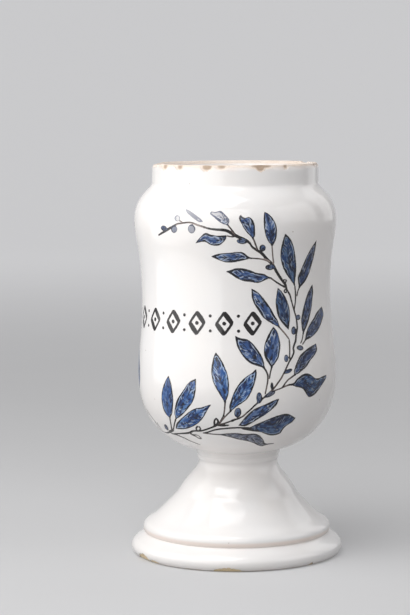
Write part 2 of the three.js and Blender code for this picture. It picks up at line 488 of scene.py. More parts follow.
class Bench:
    """Wires the nodes of one material or one group."""

    def __init__(self, tree: bpy.types.NodeTree) -> None:
        """Takes the tree that it works on."""
        self.tree = tree

    def add(self, kind: str, feeds: dict[str | int, Feed] | None = None, **settings: Any) -> bpy.types.Node:
        """Adds a node.

        Args:
            kind: The node's type.
            feeds: A socket or a value for each input that is set.
            **settings: The node's own settings.

        Returns:
            The node.
        """
        node = self.tree.nodes.new(kind)
        for name, value in settings.items():
            setattr(node, name, value)
        for socket, value in (feeds or {}).items():
            self.feed(node.inputs[socket], value)
        return node

    def feed(self, socket: bpy.types.NodeSocket, value: Feed) -> None:
        """Links a socket into an input, or sets the input's own value."""
        if isinstance(value, bpy.types.NodeSocket):
            self.tree.links.new(value, socket)
        elif socket.type == "RGBA" and len(value) == 3:
            socket.default_value = (*value, 1.0)
        else:
            socket.default_value = value

    def sum(self, operation: str, *values: Feed) -> bpy.types.NodeSocket:
        """The result of a Math node's operation on its values."""
        return self.add("ShaderNodeMath", dict(enumerate(values)), operation=operation).outputs[0]

    def times(self, first: Feed, second: Feed) -> bpy.types.NodeSocket:
        """The product of two values."""
        return self.sum("MULTIPLY", first, second)

    def effect(self, tree: bpy.types.NodeTree, feeds: dict[str | int, Feed]) -> bpy.types.Node:
        """Places one of the shader groups."""
        return self.add("ShaderNodeGroup", feeds, node_tree=tree)

    def scaled(self, vector: Feed, scale: Feed) -> bpy.types.NodeSocket:
        """A vector with its parts stretched."""
        return self.add("ShaderNodeVectorMath", {0: vector, 1: scale}, operation="MULTIPLY").outputs[0]

    def between(
        self, value: Feed, low: Feed, high: Feed, start: float = 0, end: float = 1
    ) -> bpy.types.NodeSocket:
        """Eases from start to end while a value goes from low to high."""
        feeds = {"Value": value, "From Min": low, "From Max": high, "To Min": start, "To Max": end}
        return self.add("ShaderNodeMapRange", feeds, interpolation_type="SMOOTHSTEP").outputs[0]

    def grain(self, vector: Feed, kind: Grain) -> bpy.types.NodeSocket:
        """A cloudy value from 0 to 1."""
        feeds = {"Vector": vector, "Scale": kind.scale, "Detail": kind.detail, "Roughness": kind.roughness}
        return self.add("ShaderNodeTexNoise", feeds).outputs["Fac"]

    def mixed(self, share: Feed, first: Feed, second: Feed) -> bpy.types.NodeSocket:
        """A colour between two others."""
        feeds = {0: share, 6: first, 7: second}
        return self.add("ShaderNodeMix", feeds, data_type="RGBA").outputs[2]

    def bump(self, depth: float, height: Feed) -> bpy.types.NodeSocket:
        """The normals of a relief, from its depth in metres and its height."""
        return self.add("ShaderNodeBump", {"Strength": 1.0, "Distance": depth, "Height": height}).outputs[0]

    def painted(self, name: str) -> bpy.types.Node:
        """The node that reads one of a mesh's own attributes."""
        return self.add("ShaderNodeAttribute", attribute_name=name, attribute_type="GEOMETRY")

    def parts(self, vector: Feed) -> bpy.types.bpy_prop_collection:
        """The three parts of a vector."""
        return self.add("ShaderNodeSeparateXYZ", {0: vector}).outputs

    def here(self) -> bpy.types.NodeSocket:
        """Object coordinates, in metres."""
        return self.add("ShaderNodeTexCoord").outputs["Object"]


def group(
    name: str, takes: dict[str, str], gives: dict[str, str]
) -> tuple[bpy.types.NodeTree, Bench, Any, Any]:
    """Starts a shader node group.

    Args:
        name: Its name.
        takes: Input names and socket types.
        gives: Output names and socket types.

    Returns:
        The group, its bench, and the sockets of its input node and its output node.
    """
    tree = bpy.data.node_groups.new(name, "ShaderNodeTree")
    for way, sockets in (("INPUT", takes), ("OUTPUT", gives)):
        for label, kind in sockets.items():
            tree.interface.new_socket(label, in_out=way, socket_type=kind)
    bench = Bench(tree)
    return tree, bench, bench.add("NodeGroupInput").outputs, bench.add("NodeGroupOutput").inputs


COLOUR = "NodeSocketColor"
NUMBER = "NodeSocketFloat"
VECTOR = "NodeSocketVector"


TURNED = Grain(1)
BRISTLES = Grain(1, 1.2)
BRUSH_RAG = Grain(900, 3, 0.6)
# Sine and cosine of the slant of a leaf's veins
VEIN_SLANT = (0.5, 0.87)


@dataclass(frozen=True)
class GlazeLook:
    """How the glaze varies, and where it lies thin or is specked. Lengths and levels are in metres.

    Attributes:
        clouds, tinted: Its clouds, and how they turn it to its cooler tint.
        pores, gloss: Its pores, and how they change its roughness.
        waves, wave_height: Its soft waves, and their share of the relief.
        ripples, ripple_height: Its finer ripples, and theirs.
        rings, ring_height: How the rings of the thrower's fingers are stretched, and theirs.
        rag: What makes its thin edges wander.
        stray: How far they wander up and down.
        lip: Levels where it starts and stops thinning towards the lip, and how thin it gets.
        groove_level: Level of the groove over the base.
        groove: Distances from there where it starts and stops thickening, and how thin it is.
        rest: Levels where it starts and stops thinning towards the table, and how thin it gets.
        speck_scale: Cells in a metre, of which a few hold a speck.
        speck_size: Shares of a cell where a speck starts to fade and ends.
        speck_rarity: Share of the cells that hold none.
        speck_shade: How dark a speck is.
        speck_pit: How deep a speck is, as a share of the relief.
    """

    clouds: Grain = Grain(24, 3, 0.55)
    tinted: Point = (0.35, 0.7)
    pores: Grain = Grain(420, 3, 0.6)
    gloss: Ease = (0.3, 0.75, 0.07, 0.13)
    waves: Grain = Grain(55, 2, 0.4)
    wave_height: float = 0.5
    ripples: Grain = Grain(260)
    ripple_height: float = 0.06
    rings: Triple = (6, 6, 170)
    ring_height: float = 0.22
    rag: Grain = Grain(110)
    stray: float = 0.0026
    lip: Triple = (0.2275, 0.2312, 0.9)
    groove_level: float = 0.0139
    groove: Triple = (0.0004, 0.0023, 0.72)
    rest: Triple = (0.0034, 0.0020, 0.25)
    speck_scale: float = 190
    speck_size: Point = (0.05, 0.09)
    speck_rarity: float = 0.955
    speck_shade: float = 0.6
    speck_pit: float = 0.12


class Effects:
    """The shader groups that more than one finish uses, each built once."""

    @cached_property
    def glaze_skin(self) -> bpy.types.NodeTree:
        """Tin glaze: its clouds, the warm tint where it lies thin, its specks and its soft waves."""
        tree, bench, takes, gives = group(
            "glaze_skin",
            {"Glaze": COLOUR, "Cool": COLOUR, "Thin": COLOUR, "Speck": COLOUR},
            {"Colour": COLOUR, "Roughness": NUMBER, "Height": NUMBER},
        )
        look = GlazeLook()
        here = bench.here()
        level = bench.parts(here)[2]
        cloud = bench.grain(here, look.clouds)
        fine = bench.grain(here, look.pores)
        colour = bench.mixed(bench.between(cloud, *look.tinted), takes["Glaze"], takes["Cool"])
        ragged = bench.sum("MULTIPLY_ADD", bench.grain(here, look.rag), look.stray, level)
        lip = bench.between(ragged, *look.lip[:2], 0, look.lip[2])
        groove = bench.sum("ABSOLUTE", bench.sum("SUBTRACT", level, look.groove_level))
        groove = bench.between(groove, *look.groove[:2], look.groove[2], 0)
        rest = bench.between(ragged, *look.rest[:2], 0, look.rest[2])
        thin = bench.sum("MAXIMUM", bench.sum("MAXIMUM", lip, groove), rest)
        colour = bench.mixed(thin, colour, takes["Thin"])
        cells = bench.add("ShaderNodeTexVoronoi", {"Vector": here, "Scale": look.speck_scale})
        dot = bench.between(cells.outputs["Distance"], *look.speck_size, 1, 0)
        rare = bench.add("ShaderNodeSeparateColor", {0: cells.outputs["Color"]}).outputs[0]
        dot = bench.times(dot, bench.sum("GREATER_THAN", rare, look.speck_rarity))
        colour = bench.mixed(bench.times(dot, look.speck_shade), colour, takes["Speck"])
        bench.feed(gives["Colour"], colour)
        bench.feed(gives["Roughness"], bench.between(fine, *look.gloss))
        ring = bench.grain(bench.scaled(here, look.rings), TURNED)
        wave = bench.grain(here, look.waves)
        height = bench.sum("MULTIPLY_ADD", ring, look.ring_height, bench.times(wave, look.wave_height))
        height = bench.sum("MULTIPLY_ADD", bench.grain(here, look.ripples), look.ripple_height, height)
        height = bench.sum("SUBTRACT", height, bench.times(dot, look.speck_pit))
        bench.feed(gives["Height"], height)
        return tree

    @cached_property
    def brush_edge(self) -> bpy.types.NodeTree:
        """How the paint stands at the brush mark's edge: 0 outside, 1 inside, ragged between."""
        tree, bench, takes, gives = group(
            "brush_edge",
            {"Inside": NUMBER, "Ragged": NUMBER, "Soft": NUMBER},
            {"Paint": NUMBER, "Inside": NUMBER},
        )
        here = bench.here()
        stray = bench.sum("SUBTRACT", bench.grain(here, BRUSH_RAG), 0.5)
        inside = bench.sum("MULTIPLY_ADD", stray, takes["Ragged"], takes["Inside"])
        low = bench.times(takes["Soft"], -1.0)
        bench.feed(gives["Paint"], bench.between(inside, low, takes["Soft"]))
        bench.feed(gives["Inside"], inside)
        return tree

    @cached_property
    def bristle(self) -> bpy.types.NodeTree:
        """Streaks that a brush's hairs leave along a mark, between two thresholds."""
        tree, bench, takes, gives = group(
            "bristle",
            {"Stroke": VECTOR, "Stretch": VECTOR, "Bias": NUMBER, "Low": NUMBER, "High": NUMBER},
            {"Streak": NUMBER},
        )
        stretched = bench.scaled(takes["Stroke"], takes["Stretch"])
        streak = bench.sum("ADD", bench.grain(stretched, BRISTLES), takes["Bias"])
        bench.feed(gives["Streak"], bench.between(streak, takes["Low"], takes["High"]))
        return tree

    @cached_property
    def vein_way(self) -> bpy.types.NodeTree:
        """Places across and along a leaf's veins, which slant from its rib towards its tip."""
        tree, bench, takes, gives = group("vein_way", {"Stroke": VECTOR}, {"Veins": VECTOR})
        run, offset, seed = bench.parts(takes["Stroke"])
        aside = bench.sum("ABSOLUTE", offset)
        sine, cosine = VEIN_SLANT
        across = bench.sum("MULTIPLY_ADD", aside, cosine, bench.times(run, sine))
        along = bench.sum("MULTIPLY_ADD", aside, -sine, bench.times(run, cosine))
        veins = bench.add("ShaderNodeCombineXYZ", {0: across, 1: along, 2: seed})
        bench.feed(gives["Veins"], veins.outputs[0])
        return tree


EFFECTS = Effects()


class Finish:
    """A finish. Each kind says how its material is made."""

    name: str = "finish"
    ior: float = 1.5

    @cached_property
    def material(self) -> bpy.types.Material:
        """The finish's material, made once."""
        made = bpy.data.materials.new(self.name)
        made.use_nodes = True
        made.node_tree.nodes.clear()
        bench = Bench(made.node_tree)
        shader = bench.add("ShaderNodeBsdfPrincipled", {"IOR": self.ior})
        bench.add("ShaderNodeOutputMaterial", {"Surface": shader.outputs[0]})
        self.dress(bench, shader)
        return made

    def dress(self, bench: Bench, shader: bpy.types.Node) -> None:
        """Feeds the shader."""
        raise NotImplementedError


@dataclass(frozen=True)
class GlazeFinish(Finish):
    """White tin glaze, glossy and a little uneven."""

    name: str = "tin_glaze"
    glaze: Colour = (0.880, 0.854, 0.838)
    cool: Colour = (0.860, 0.848, 0.845)
    thin: Colour = (0.82, 0.70, 0.63)
    speck: Colour = (0.25, 0.17, 0.11)
    relief: float = 0.00012
    ior: float = 1.52

    def skin(self, bench: Bench) -> bpy.types.Node:
        """The bare glaze's own colour, roughness and height."""
        feeds = {"Glaze": self.glaze, "Cool": self.cool, "Thin": self.thin, "Speck": self.speck}
        return bench.effect(EFFECTS.glaze_skin, feeds)

    def gloss(self, bench: Bench, shader: bpy.types.Node, skin: bpy.types.Node, colour: Feed) -> None:
        """Feeds the shader with a colour under the glaze's own gloss and relief.

        Args:
            bench: The material's bench.
            shader: The shader.
            skin: The bare glaze's node.
            colour: The colour.
        """
        bench.feed(shader.inputs["Base Color"], colour)
        bench.feed(shader.inputs["Roughness"], skin.outputs["Roughness"])
        bench.feed(shader.inputs["Normal"], bench.bump(self.relief, skin.outputs["Height"]))

    def dress(self, bench: Bench, shader: bpy.types.Node) -> None:
        """Feeds the shader with the bare glaze."""
        skin = self.skin(bench)
        self.gloss(bench, shader, skin, skin.outputs["Colour"])


GLAZE = GlazeFinish()


@dataclass(frozen=True)
class Streaks:
    """One layer of streaks on a brush mark.

    Attributes:
        stretch: How fast they change along each part of the places that they follow.
        low: Noise below which there's no streak.
        high: Noise above which the streak is full.
    """

    stretch: Triple
    low: float
    high: float


OUTLINE_WIDTH = Streaks((0.2, 0.3, 1.3), 0.34, 0.66)
BARE_STRIPE = Streaks((0.1, 0.3, 9.1), 0.46, 0.54)
POOLS = Streaks((0.2, 0.45, 5.7), 0.36, 0.58)
LIGHT_STREAKS = Streaks((0.28, 0.6, 9.7), 0.47, 0.64)
VEINED = Streaks((0.16, 0.3, 3.1), 0.40, 0.52)
DARK_VEINS = Streaks((1.15, 0.3, 4.3), 0.52, 0.58)
PALE_VEINS = Streaks((1.25, 0.28, 2.9), 0.57, 0.63)
RIB_LINE = Streaks((0.22, 0.05, 6.1), 0.48, 0.55)
BRUSH_LOAD = Streaks((0.11, 0.9, 4.3), 0.3, 0.72)

# Where a rib starts and stops to fade, in shares of its half width, and how dark it is
RIB_EDGE = (1.0, 1.8)
RIB_COVER = 0.7
# What becomes of the paint where the brush ran dry, by how full it was
DRY_WASH: Ease = (0.0, 0.8, 0.7, 0.0)
DRY_LINE: Ease = (0.0, 0.65, 0.0, 1.0)
FAINT_LINE: Ease = (0.0, 0.25, 0.5, 1.0)
FAINT_WASH: Ease = (0.0, 0.6, 0.12, 1.0)
# The same for a line of manganese, by how thin the paint lies
THIN_COLOUR: Ease = (0.0, 0.75, 0.0, 1.0)
THIN_COVER: Ease = (0.2, 1.1, 1.0, 0.65)


@dataclass(frozen=True)
class PaintFinish(Finish):
    """Paint that is fired into the glaze, so it has the glaze's own gloss and relief.

    Attributes:
        ragged: How far a mark's edge strays, in millimetres.
        soft: How far it fades, in millimetres.
        spread: How far the paint runs past the drawn edge, in millimetres.
    """

    name: str = "paint"
    ior: float = GLAZE.ior
    ragged: float = 0.28
    soft: float = 0.1
    spread: float = 0.0

    def dress(self, bench: Bench, shader: bpy.types.Node) -> None:
        """Feeds the shader with the paint over the bare glaze."""
        skin = GLAZE.skin(bench)
        GLAZE.gloss(bench, shader, skin, self.colour(bench, skin.outputs["Colour"]))

    def brushed(self, bench: Bench) -> tuple[Feed, Feed, Feed, Feed]:
        """What a brush mark carries.

        Args:
            bench: The material's bench.

        Returns:
            The place along and across the mark, how full the brush was, how much paint stands there,
            and how deep inside the mark it is.
        """
        stroke = bench.painted("stroke").outputs["Vector"]
        tone = bench.painted("tone").outputs["Fac"]
        inside = bench.sum("ADD", bench.painted("inside").outputs["Fac"], self.spread)
        feeds = {"Inside": inside, "Ragged": self.ragged, "Soft": self.soft}
        edge = bench.effect(EFFECTS.brush_edge, feeds).outputs
        return stroke, tone, edge["Paint"], edge["Inside"]

    def colour(self, bench: Bench, glaze: Feed) -> bpy.types.NodeSocket:
        """The colour of the painted glaze."""
        raise NotImplementedError

    def streak(self, bench: Bench, places: Feed, layer: Streaks, bias: Feed = 0.0) -> bpy.types.NodeSocket:
        """One layer of streaks.

        Args:
            bench: The material's bench.
            places: The places that the streaks follow, in millimetres.
            layer: The layer.
            bias: What is added to the noise.

        Returns:
            The streaks, from 0 to 1.
        """
        feeds = {"Stroke": places, "Stretch": layer.stretch, "Bias": bias}
        feeds |= {"Low": layer.low, "High": layer.high}
        return bench.effect(EFFECTS.bristle, feeds).outputs[0]


@dataclass(frozen=True)
class LeafFinish(PaintFinish):
    """A wash of cobalt that pools on one side, with veins, inside a near-black outline of its own."""

    name: str = "cobalt_leaf"
    deep: Colour = (0.0065, 0.0150, 0.058)
    wash: Colour = (0.034, 0.082, 0.235)
    steel: Colour = (0.125, 0.20, 0.38)
    bare: Colour = (0.46, 0.53, 0.66)
    line: Colour = (0.0045, 0.0050, 0.0095)
    dry: Colour = (0.115, 0.135, 0.22)
    ragged: float = 0.36
    spread: float = 0.12
    outline: float = 0.86
    stripe: float = 0.8
    veining: float = 0.85
    rib: float = 0.22
    lean: float = 0.035
    least_outline: float = 0.55
    rim: Ease = (-0.1, 0.1, 1.0, 0.0)
    rim_cover: float = 0.97
    stripe_near: Point = (0.0, 0.12)
    stripe_far: Point = (0.6, 0.35)
    wiped: float = 0.85
    sway: float = 2.3

    def colour(self, bench: Bench, glaze: Feed) -> bpy.types.NodeSocket:
        """The colour of the leaf on the glaze."""
        stroke, tone, paint, depth = self.brushed(bench)
        body, lines = self.fill(bench, stroke)
        body = bench.mixed(bench.between(tone, *DRY_WASH), body, self.dry)
        width = self.streak(bench, stroke, OUTLINE_WIDTH)
        width = bench.sum("MULTIPLY_ADD", width, self.outline, self.least_outline * self.outline)
        beyond = bench.sum("SUBTRACT", depth, width)
        near, far = bench.between(beyond, *self.stripe_near), bench.between(beyond, *self.stripe_far)
        stripe = bench.times(near, far)
        stripe = bench.times(stripe, self.streak(bench, stroke, BARE_STRIPE))
        body = bench.mixed(bench.times(stripe, self.stripe), body, self.bare)
        rim = bench.between(beyond, *self.rim)
        line = bench.mixed(bench.between(tone, *DRY_LINE), self.dry, self.line)
        body = bench.mixed(bench.times(rim, self.rim_cover), body, line)
        lines = bench.sum("MAXIMUM", rim, lines)
        lines = bench.times(lines, bench.between(tone, *FAINT_LINE))
        cover = bench.sum("MAXIMUM", lines, bench.between(tone, *FAINT_WASH))
        return bench.mixed(bench.times(paint, cover), glaze, body)

    def fill(self, bench: Bench, stroke: Feed) -> tuple[bpy.types.NodeSocket, bpy.types.NodeSocket]:
        """The wash with its pools, veins and rib, and how much of each spot is a drawn line.

        Args:
            bench: The material's bench.
            stroke: The place along and across the leaf, and the leaf's own number.

        Returns:
            The colour, and the share of drawn line.
        """
        _, offset, seed = bench.parts(stroke)
        turn = bench.sum("SINE", bench.times(seed, self.sway))
        lean = bench.times(bench.times(offset, turn), self.lean)
        body = bench.mixed(self.streak(bench, stroke, POOLS, lean), self.deep, self.wash)
        light = self.streak(bench, stroke, LIGHT_STREAKS, lean)
        body = bench.mixed(bench.times(light, self.wiped), body, self.steel)
        veins = bench.effect(EFFECTS.vein_way, {"Stroke": stroke}).outputs[0]
        veined = self.streak(bench, stroke, VEINED)
        dark = bench.times(self.streak(bench, veins, DARK_VEINS), veined)
        body = bench.mixed(bench.times(dark, self.veining), body, self.line)
        pale = bench.times(self.streak(bench, veins, PALE_VEINS), veined)
        body = bench.mixed(bench.times(pale, self.wiped * self.veining), body, self.bare)
        start, end = (share * self.rib for share in RIB_EDGE)
        rib = bench.between(bench.sum("ABSOLUTE", offset), start, end, RIB_COVER, 0)
        rib = bench.times(rib, self.streak(bench, stroke, RIB_LINE))
        return bench.mixed(rib, body, self.line), bench.sum("MAXIMUM", dark, rib)


@dataclass(frozen=True)
class ManganeseFinish(PaintFinish):
    """Brown-black manganese, thin and translucent where the brush ran dry."""

    name: str = "manganese_line"
    full: Colour = (0.0115, 0.0098, 0.0105)
    dry: Colour = (0.21, 0.145, 0.125)

    def colour(self, bench: Bench, glaze: Feed) -> bpy.types.NodeSocket:
        """The colour of the line on the glaze."""
        stroke, tone, paint, _ = self.brushed(bench)
        load = self.streak(bench, stroke, BRUSH_LOAD)
        thin = bench.sum("SUBTRACT", bench.sum("MULTIPLY_ADD", load, 0.5, 0.5), tone)
        colour = bench.mixed(bench.between(thin, *THIN_COLOUR), self.full, self.dry)
        paint = bench.times(paint, bench.between(thin, *THIN_COVER))
        return bench.mixed(paint, glaze, colour)


@dataclass(frozen=True)
class ClayFinish(Finish):
    """Buff earthenware, pale where it's rubbed and darker where it's freshly broken; the dark in a chip is
    partly dirt and partly painted shade under the broken edge of the glaze.
    """

    name: str = "buff_clay"
    rubbed: Colour = (0.86, 0.765, 0.69)
    dull: Colour = (0.81, 0.69, 0.595)
    # Broken clay's colour, which the chips darken to: partly dirt, partly painted shade under the broken edge
    # of the glaze
    broken: Colour = (0.47, 0.355, 0.27)
    grit: Colour = (0.36, 0.27, 0.18)
    gritty: float = 0.35
    relief: float = 0.0001
    clouds: Grain = Grain(90, 4, 0.6)
    dulled: Point = (0.35, 0.68)
    grains: Grain = Grain(1500, 3, 0.6)
    grit_range: Point = (0.58, 0.68)
    rough: Ease = (0.3, 0.7, 0.78, 0.92)
    rings: Triple = (30, 30, 900)
    grain_height: float = 0.6

    def dress(self, bench: Bench, shader: bpy.types.Node) -> None:
        """Feeds the shader with clay."""
        here = bench.here()
        cloud = bench.grain(here, self.clouds)
        fine = bench.grain(here, self.grains)
        colour = bench.mixed(bench.between(cloud, *self.dulled), self.rubbed, self.dull)
        # Chips darken towards the colour of broken clay: partly dirt, partly painted shade under the broken
        # edge of the glaze
        fresh = bench.painted("fresh").outputs["Fac"]
        colour = bench.mixed(fresh, colour, self.broken)
        grit = bench.between(fine, *self.grit_range, 0, self.gritty)
        colour = bench.mixed(grit, colour, self.grit)
        rings = bench.grain(bench.scaled(here, self.rings), TURNED)
        height = bench.sum("MULTIPLY_ADD", fine, self.grain_height, rings)
        bench.feed(shader.inputs["Base Color"], colour)
        bench.feed(shader.inputs["Roughness"], bench.between(fine, *self.rough))
        bench.feed(shader.inputs["Normal"], bench.bump(self.relief, height))


@dataclass(frozen=True)
class SlipFinish(ClayFinish):
    """The fired slip in the joint, a little darker than the clay."""

    name: str = "fired_slip"
    rubbed: Colour = (0.42, 0.28, 0.18)
    dull: Colour = (0.34, 0.22, 0.14)


VESSEL_CLAY = ClayFinish()
FOOT_CLAY = ClayFinish(
    "ochre_clay",
    rubbed=(0.93, 0.79, 0.55),
    dull=(0.90, 0.74, 0.48),
    broken=(0.80, 0.65, 0.44),
    grit=(0.18, 0.12, 0.07),
    gritty=0.5,
)


@dataclass(frozen=True)
class StudioFinish(Finish):
    """The plain pale floor and backdrop, which glows a little for the camera where no light reaches."""

    name: str = "studio_paper"
    paper: Colour = (0.45, 0.45, 0.455)
    worn: Colour = (0.435, 0.435, 0.44)
    glow: Colour = (0.98, 0.98, 1.0)
    near_glow: float = 0.19
    far_glow: float = 0.52
    near: float = 0.3
    far: float = 2.4
    fibres: Grain = Grain(9)
    rough: float = 0.9
    sheen: float = 0.1

    def dress(self, bench: Bench, shader: bpy.types.Node) -> None:
        """Feeds the shader with plain paper."""
        here = bench.here()
        colour = bench.mixed(bench.grain(here, self.fibres), self.paper, self.worn)
        bench.feed(shader.inputs["Base Color"], colour)
        bench.feed(shader.inputs["Roughness"], self.rough)
        bench.feed(shader.inputs["Specular IOR Level"], self.sheen)
        away = bench.add("ShaderNodeVectorMath", {0: here}, operation="LENGTH").outputs["Value"]
        strength = bench.between(away, self.near, self.far, self.near_glow, self.far_glow)
        ways = bench.add("ShaderNodeLightPath").outputs
        seen = bench.sum("MAXIMUM", ways["Is Camera Ray"], ways["Is Glossy Ray"])
        seen = bench.sum("MAXIMUM", seen, ways["Is Transmission Ray"])
        bench.feed(shader.inputs["Emission Color"], bench.mixed(seen, (0.0, 0.0, 0.0), self.glow))
        bench.feed(shader.inputs["Emission Strength"], strength)


# Camera


@dataclass(frozen=True)
class PhotoCamera:
    """The camera of the picture, in millimetres, degrees and pixels."""

    width: float = 410.0
    rows: float = 615.0
    distance: float = 1250.0
    height: float = 269.9
    offset: float = -18.2
    pitch: float = 5.706
    roll: float = -0.288
    lens: float = 124.9
    sensor: float = 36.0
    search: float = 70.0
    search_steps: int = 420

    @cached_property
    def matrix(self) -> Matrix:
        """Where the camera stands and how it is turned."""
        stand = Matrix.Translation(Vector((self.offset, -self.distance, self.height)) * MM)
        tilt = Matrix.Rotation(math.radians(90 - self.pitch), 4, "X")
        return stand @ tilt @ Matrix.Rotation(math.radians(self.roll), 4, "Z")

    def stand(self) -> None:
        """Puts the camera in the scene."""
        data = bpy.data.cameras.new("photo_camera")
        data.sensor_fit = "VERTICAL"
        data.sensor_height = self.sensor
        data.lens = self.lens
        data.clip_start = 0.02
        data.clip_end = 60
        camera = put("photo_camera", data)
        camera.matrix_world = self.matrix
        bpy.context.scene.camera = camera

    def land(self, spot: Pixel) -> Point:
        """Where the sight line through a pixel meets the glazed surface.

        Args:
            spot: Column and row in the picture.

        Returns:
            The angle round the jar and the level.
        """
        focal = self.lens / self.sensor * self.rows
        across, down = (spot[0] - self.width / 2) / focal, (spot[1] - self.rows / 2) / focal
        eye = np.array(self.matrix.translation) / MM
        sight = np.array(self.matrix.to_3x3() @ Vector((across, -down, -1)))
        sight /= np.linalg.norm(sight)
        near = -float(np.dot(eye[:2], sight[:2]) / np.dot(sight[:2], sight[:2]))
        reach = np.linspace(near - self.search, near, self.search_steps)
        places = eye[None, :] + reach[:, None] * sight[None, :]
        middle = FORM.lean_at(places[:, 2])
        clear = np.hypot(places[:, 0] - middle, places[:, 1]) - FORM.radius_at(places[:, 2])
        hits = np.nonzero(clear < 0)[0]
        if len(hits) == 0 or hits[0] == 0:
            share = float(np.argmin(clear))
        else:
            last = hits[0]
            share = last - clear[last] / (clear[last] - clear[last - 1])
        steps = np.arange(len(reach))
        x, y, z = (float(np.interp(share, steps, places[:, axis])) for axis in range(3))
        return math.atan2(x - float(FORM.lean_at(z)), -y), z


CAMERA = PhotoCamera()


# Studio


@dataclass(frozen=True)
class SoftLight:
    """A softbox: its place and the spot it faces in metres, its sides in metres and its power in watts."""

    name: str
    place: tuple[float, float, float]
    width: float
    height: float
    power: float
    colour: Colour = (1.0, 1.0, 1.0)
    target: tuple[float, float, float] = (0.0, 0.0, 0.12)

    def hang(self) -> None:
        """Puts the light in the scene."""
        data = bpy.data.lights.new(self.name, "AREA")
        data.shape = "RECTANGLE"
        data.size = self.width
        data.size_y = self.height
        data.energy = self.power
        data.color = self.colour
        lamp = put(self.name, data)
        facing = (Vector(self.target) - Vector(self.place)).to_track_quat("-Z", "Y")
        lamp.matrix_world = Matrix.Translation(self.place) @ facing.to_matrix().to_4x4()
        lamp.visible_camera = False


@dataclass
class Studio:
    """A pale cove, a large softbox close on the left, a high one in front and three weak ones."""

    sides: int = 96
    inner_radius: float = 0.6
    bend_steps: int = 13
    floor_radius: float = 2.6
    cove_radius: float = 1.2
    wall_height: float = 3.2
    sky: Colour = (1.0, 1.0, 1.0)
    sky_strength: float = 0.16
    lights: tuple[SoftLight, ...] = (
        SoftLight(
            "key_softbox", (-0.537, -0.268, 0.62), 1.26, 1.23, 7.15, (1.0, 0.992, 0.98), (0.0, 0.0, 0.62)
        ),
        SoftLight("side_softbox", (1.067, -0.266, 0.65), 1.07, 0.9, 3.2, (1.0, 0.99, 1.0), (0.0, 0.0, 0.65)),
        SoftLight("rim_softbox", (0.9, 0.75, 0.6), 0.6, 1.0, 1.5, (1.0, 0.99, 0.985), (0.0, 0.0, 0.15)),
        SoftLight("top_softbox", (-0.32, -0.48, 1.3), 0.9, 0.8, 8.4),
        SoftLight("front_softbox", (0.0, -1.6, 0.9), 0.9, 0.9, 4.6),
    )

    def build(self) -> None:
        """Builds the cove, the lights and the world."""
        turns = np.linspace(0, math.pi / 2, self.bend_steps)
        bend = [
            (self.floor_radius + self.cove_radius * math.sin(turn), self.cove_radius * (1 - math.cos(turn)))
            for turn in turns
        ]
        wall_top = (self.floor_radius + self.cove_radius, self.wall_height)
        bm = spun([(0.0, 0.0), (self.inner_radius, 0.0), *bend, wall_top], self.sides, False)
        put_mesh("studio_cove", bm, StudioFinish().material)
        for light in self.lights:
            light.hang()
        world = bpy.data.worlds.new("studio_world")
        world.use_nodes = True
        world.node_tree.nodes.clear()
        bench = Bench(world.node_tree)
        sky = bench.add("ShaderNodeBackground", {"Color": self.sky, "Strength": self.sky_strength})
        bench.add("ShaderNodeOutputWorld", {"Surface": sky.outputs[0]})
        bpy.context.scene.world = world
        LOG.info("studio: %d lights", len(self.lights))


# Ware


@dataclass
class OuterGlaze:
    """The coat of glaze outside, from the bare resting edge to the bare lip.

    Attributes:
        sides: Number of sides of its turned form.
        core_step: How many rings of its face one ring of its back stands for.
        flake_margin: How far it flakes off round a chip.
        top_band: Height of the band below the lip that its ragged end is drawn from.
        bottom_band: Height of that band above the resting edge.
        ragged_edge: How far its ends fall short of the drawn outline.
        ragged_share: How much that changes round the jar.
    """

    sides: int = 396
    core_step: int = 5
    flake_margin: float = 0.35
    top_band: float = 7.0
    bottom_band: float = 8.0
    ragged_edge: float = 0.22
    ragged_share: float = 0.7

    def build(self) -> None:
        """Turns the coat and eats its edges back."""
        skin = FORM.skin
        core = shifted(skin, FORM.glaze)
        kept = core[:1] + core[1 : -1 : self.core_step] + core[-1:]
        bm = spun(skin + kept[::-1], self.sides, True)
        azimuth, radius, level = turned_places(bm)
        inset = radius - FORM.radius_at(level)
        stray = np.sin(17 * azimuth + 1) * np.sin(29 * azimuth) + 0.5 * np.sin(61 * azimuth)
        wear = self.ragged_edge * (1 + self.ragged_share * stray)
        low_wear = wear + FORM.glaze_foot[1] - FORM.bare_edge[1]
        top, bottom = FORM.glaze_end[1], FORM.bare_edge[1]
        lost = wear + FORM.notch(FORM.lip_knocks, FORM.neck_radius, azimuth, self.flake_margin)
        share = np.clip((level - top + self.top_band) / self.top_band, 0, 1)
        worn = level - lost * share
        lost = low_wear + FORM.notch(FORM.flange_knocks, FORM.flange_radius, azimuth, self.flake_margin)
        share = np.clip((bottom + self.bottom_band - level) / self.bottom_band, 0, 1)
        worn = worn + lost * share
        settle(bm, azimuth, FORM.radius_at(worn) + inset, worn)
        made = piece("glaze_coat", bm, GLAZE.material)
        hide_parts("outer_glaze")


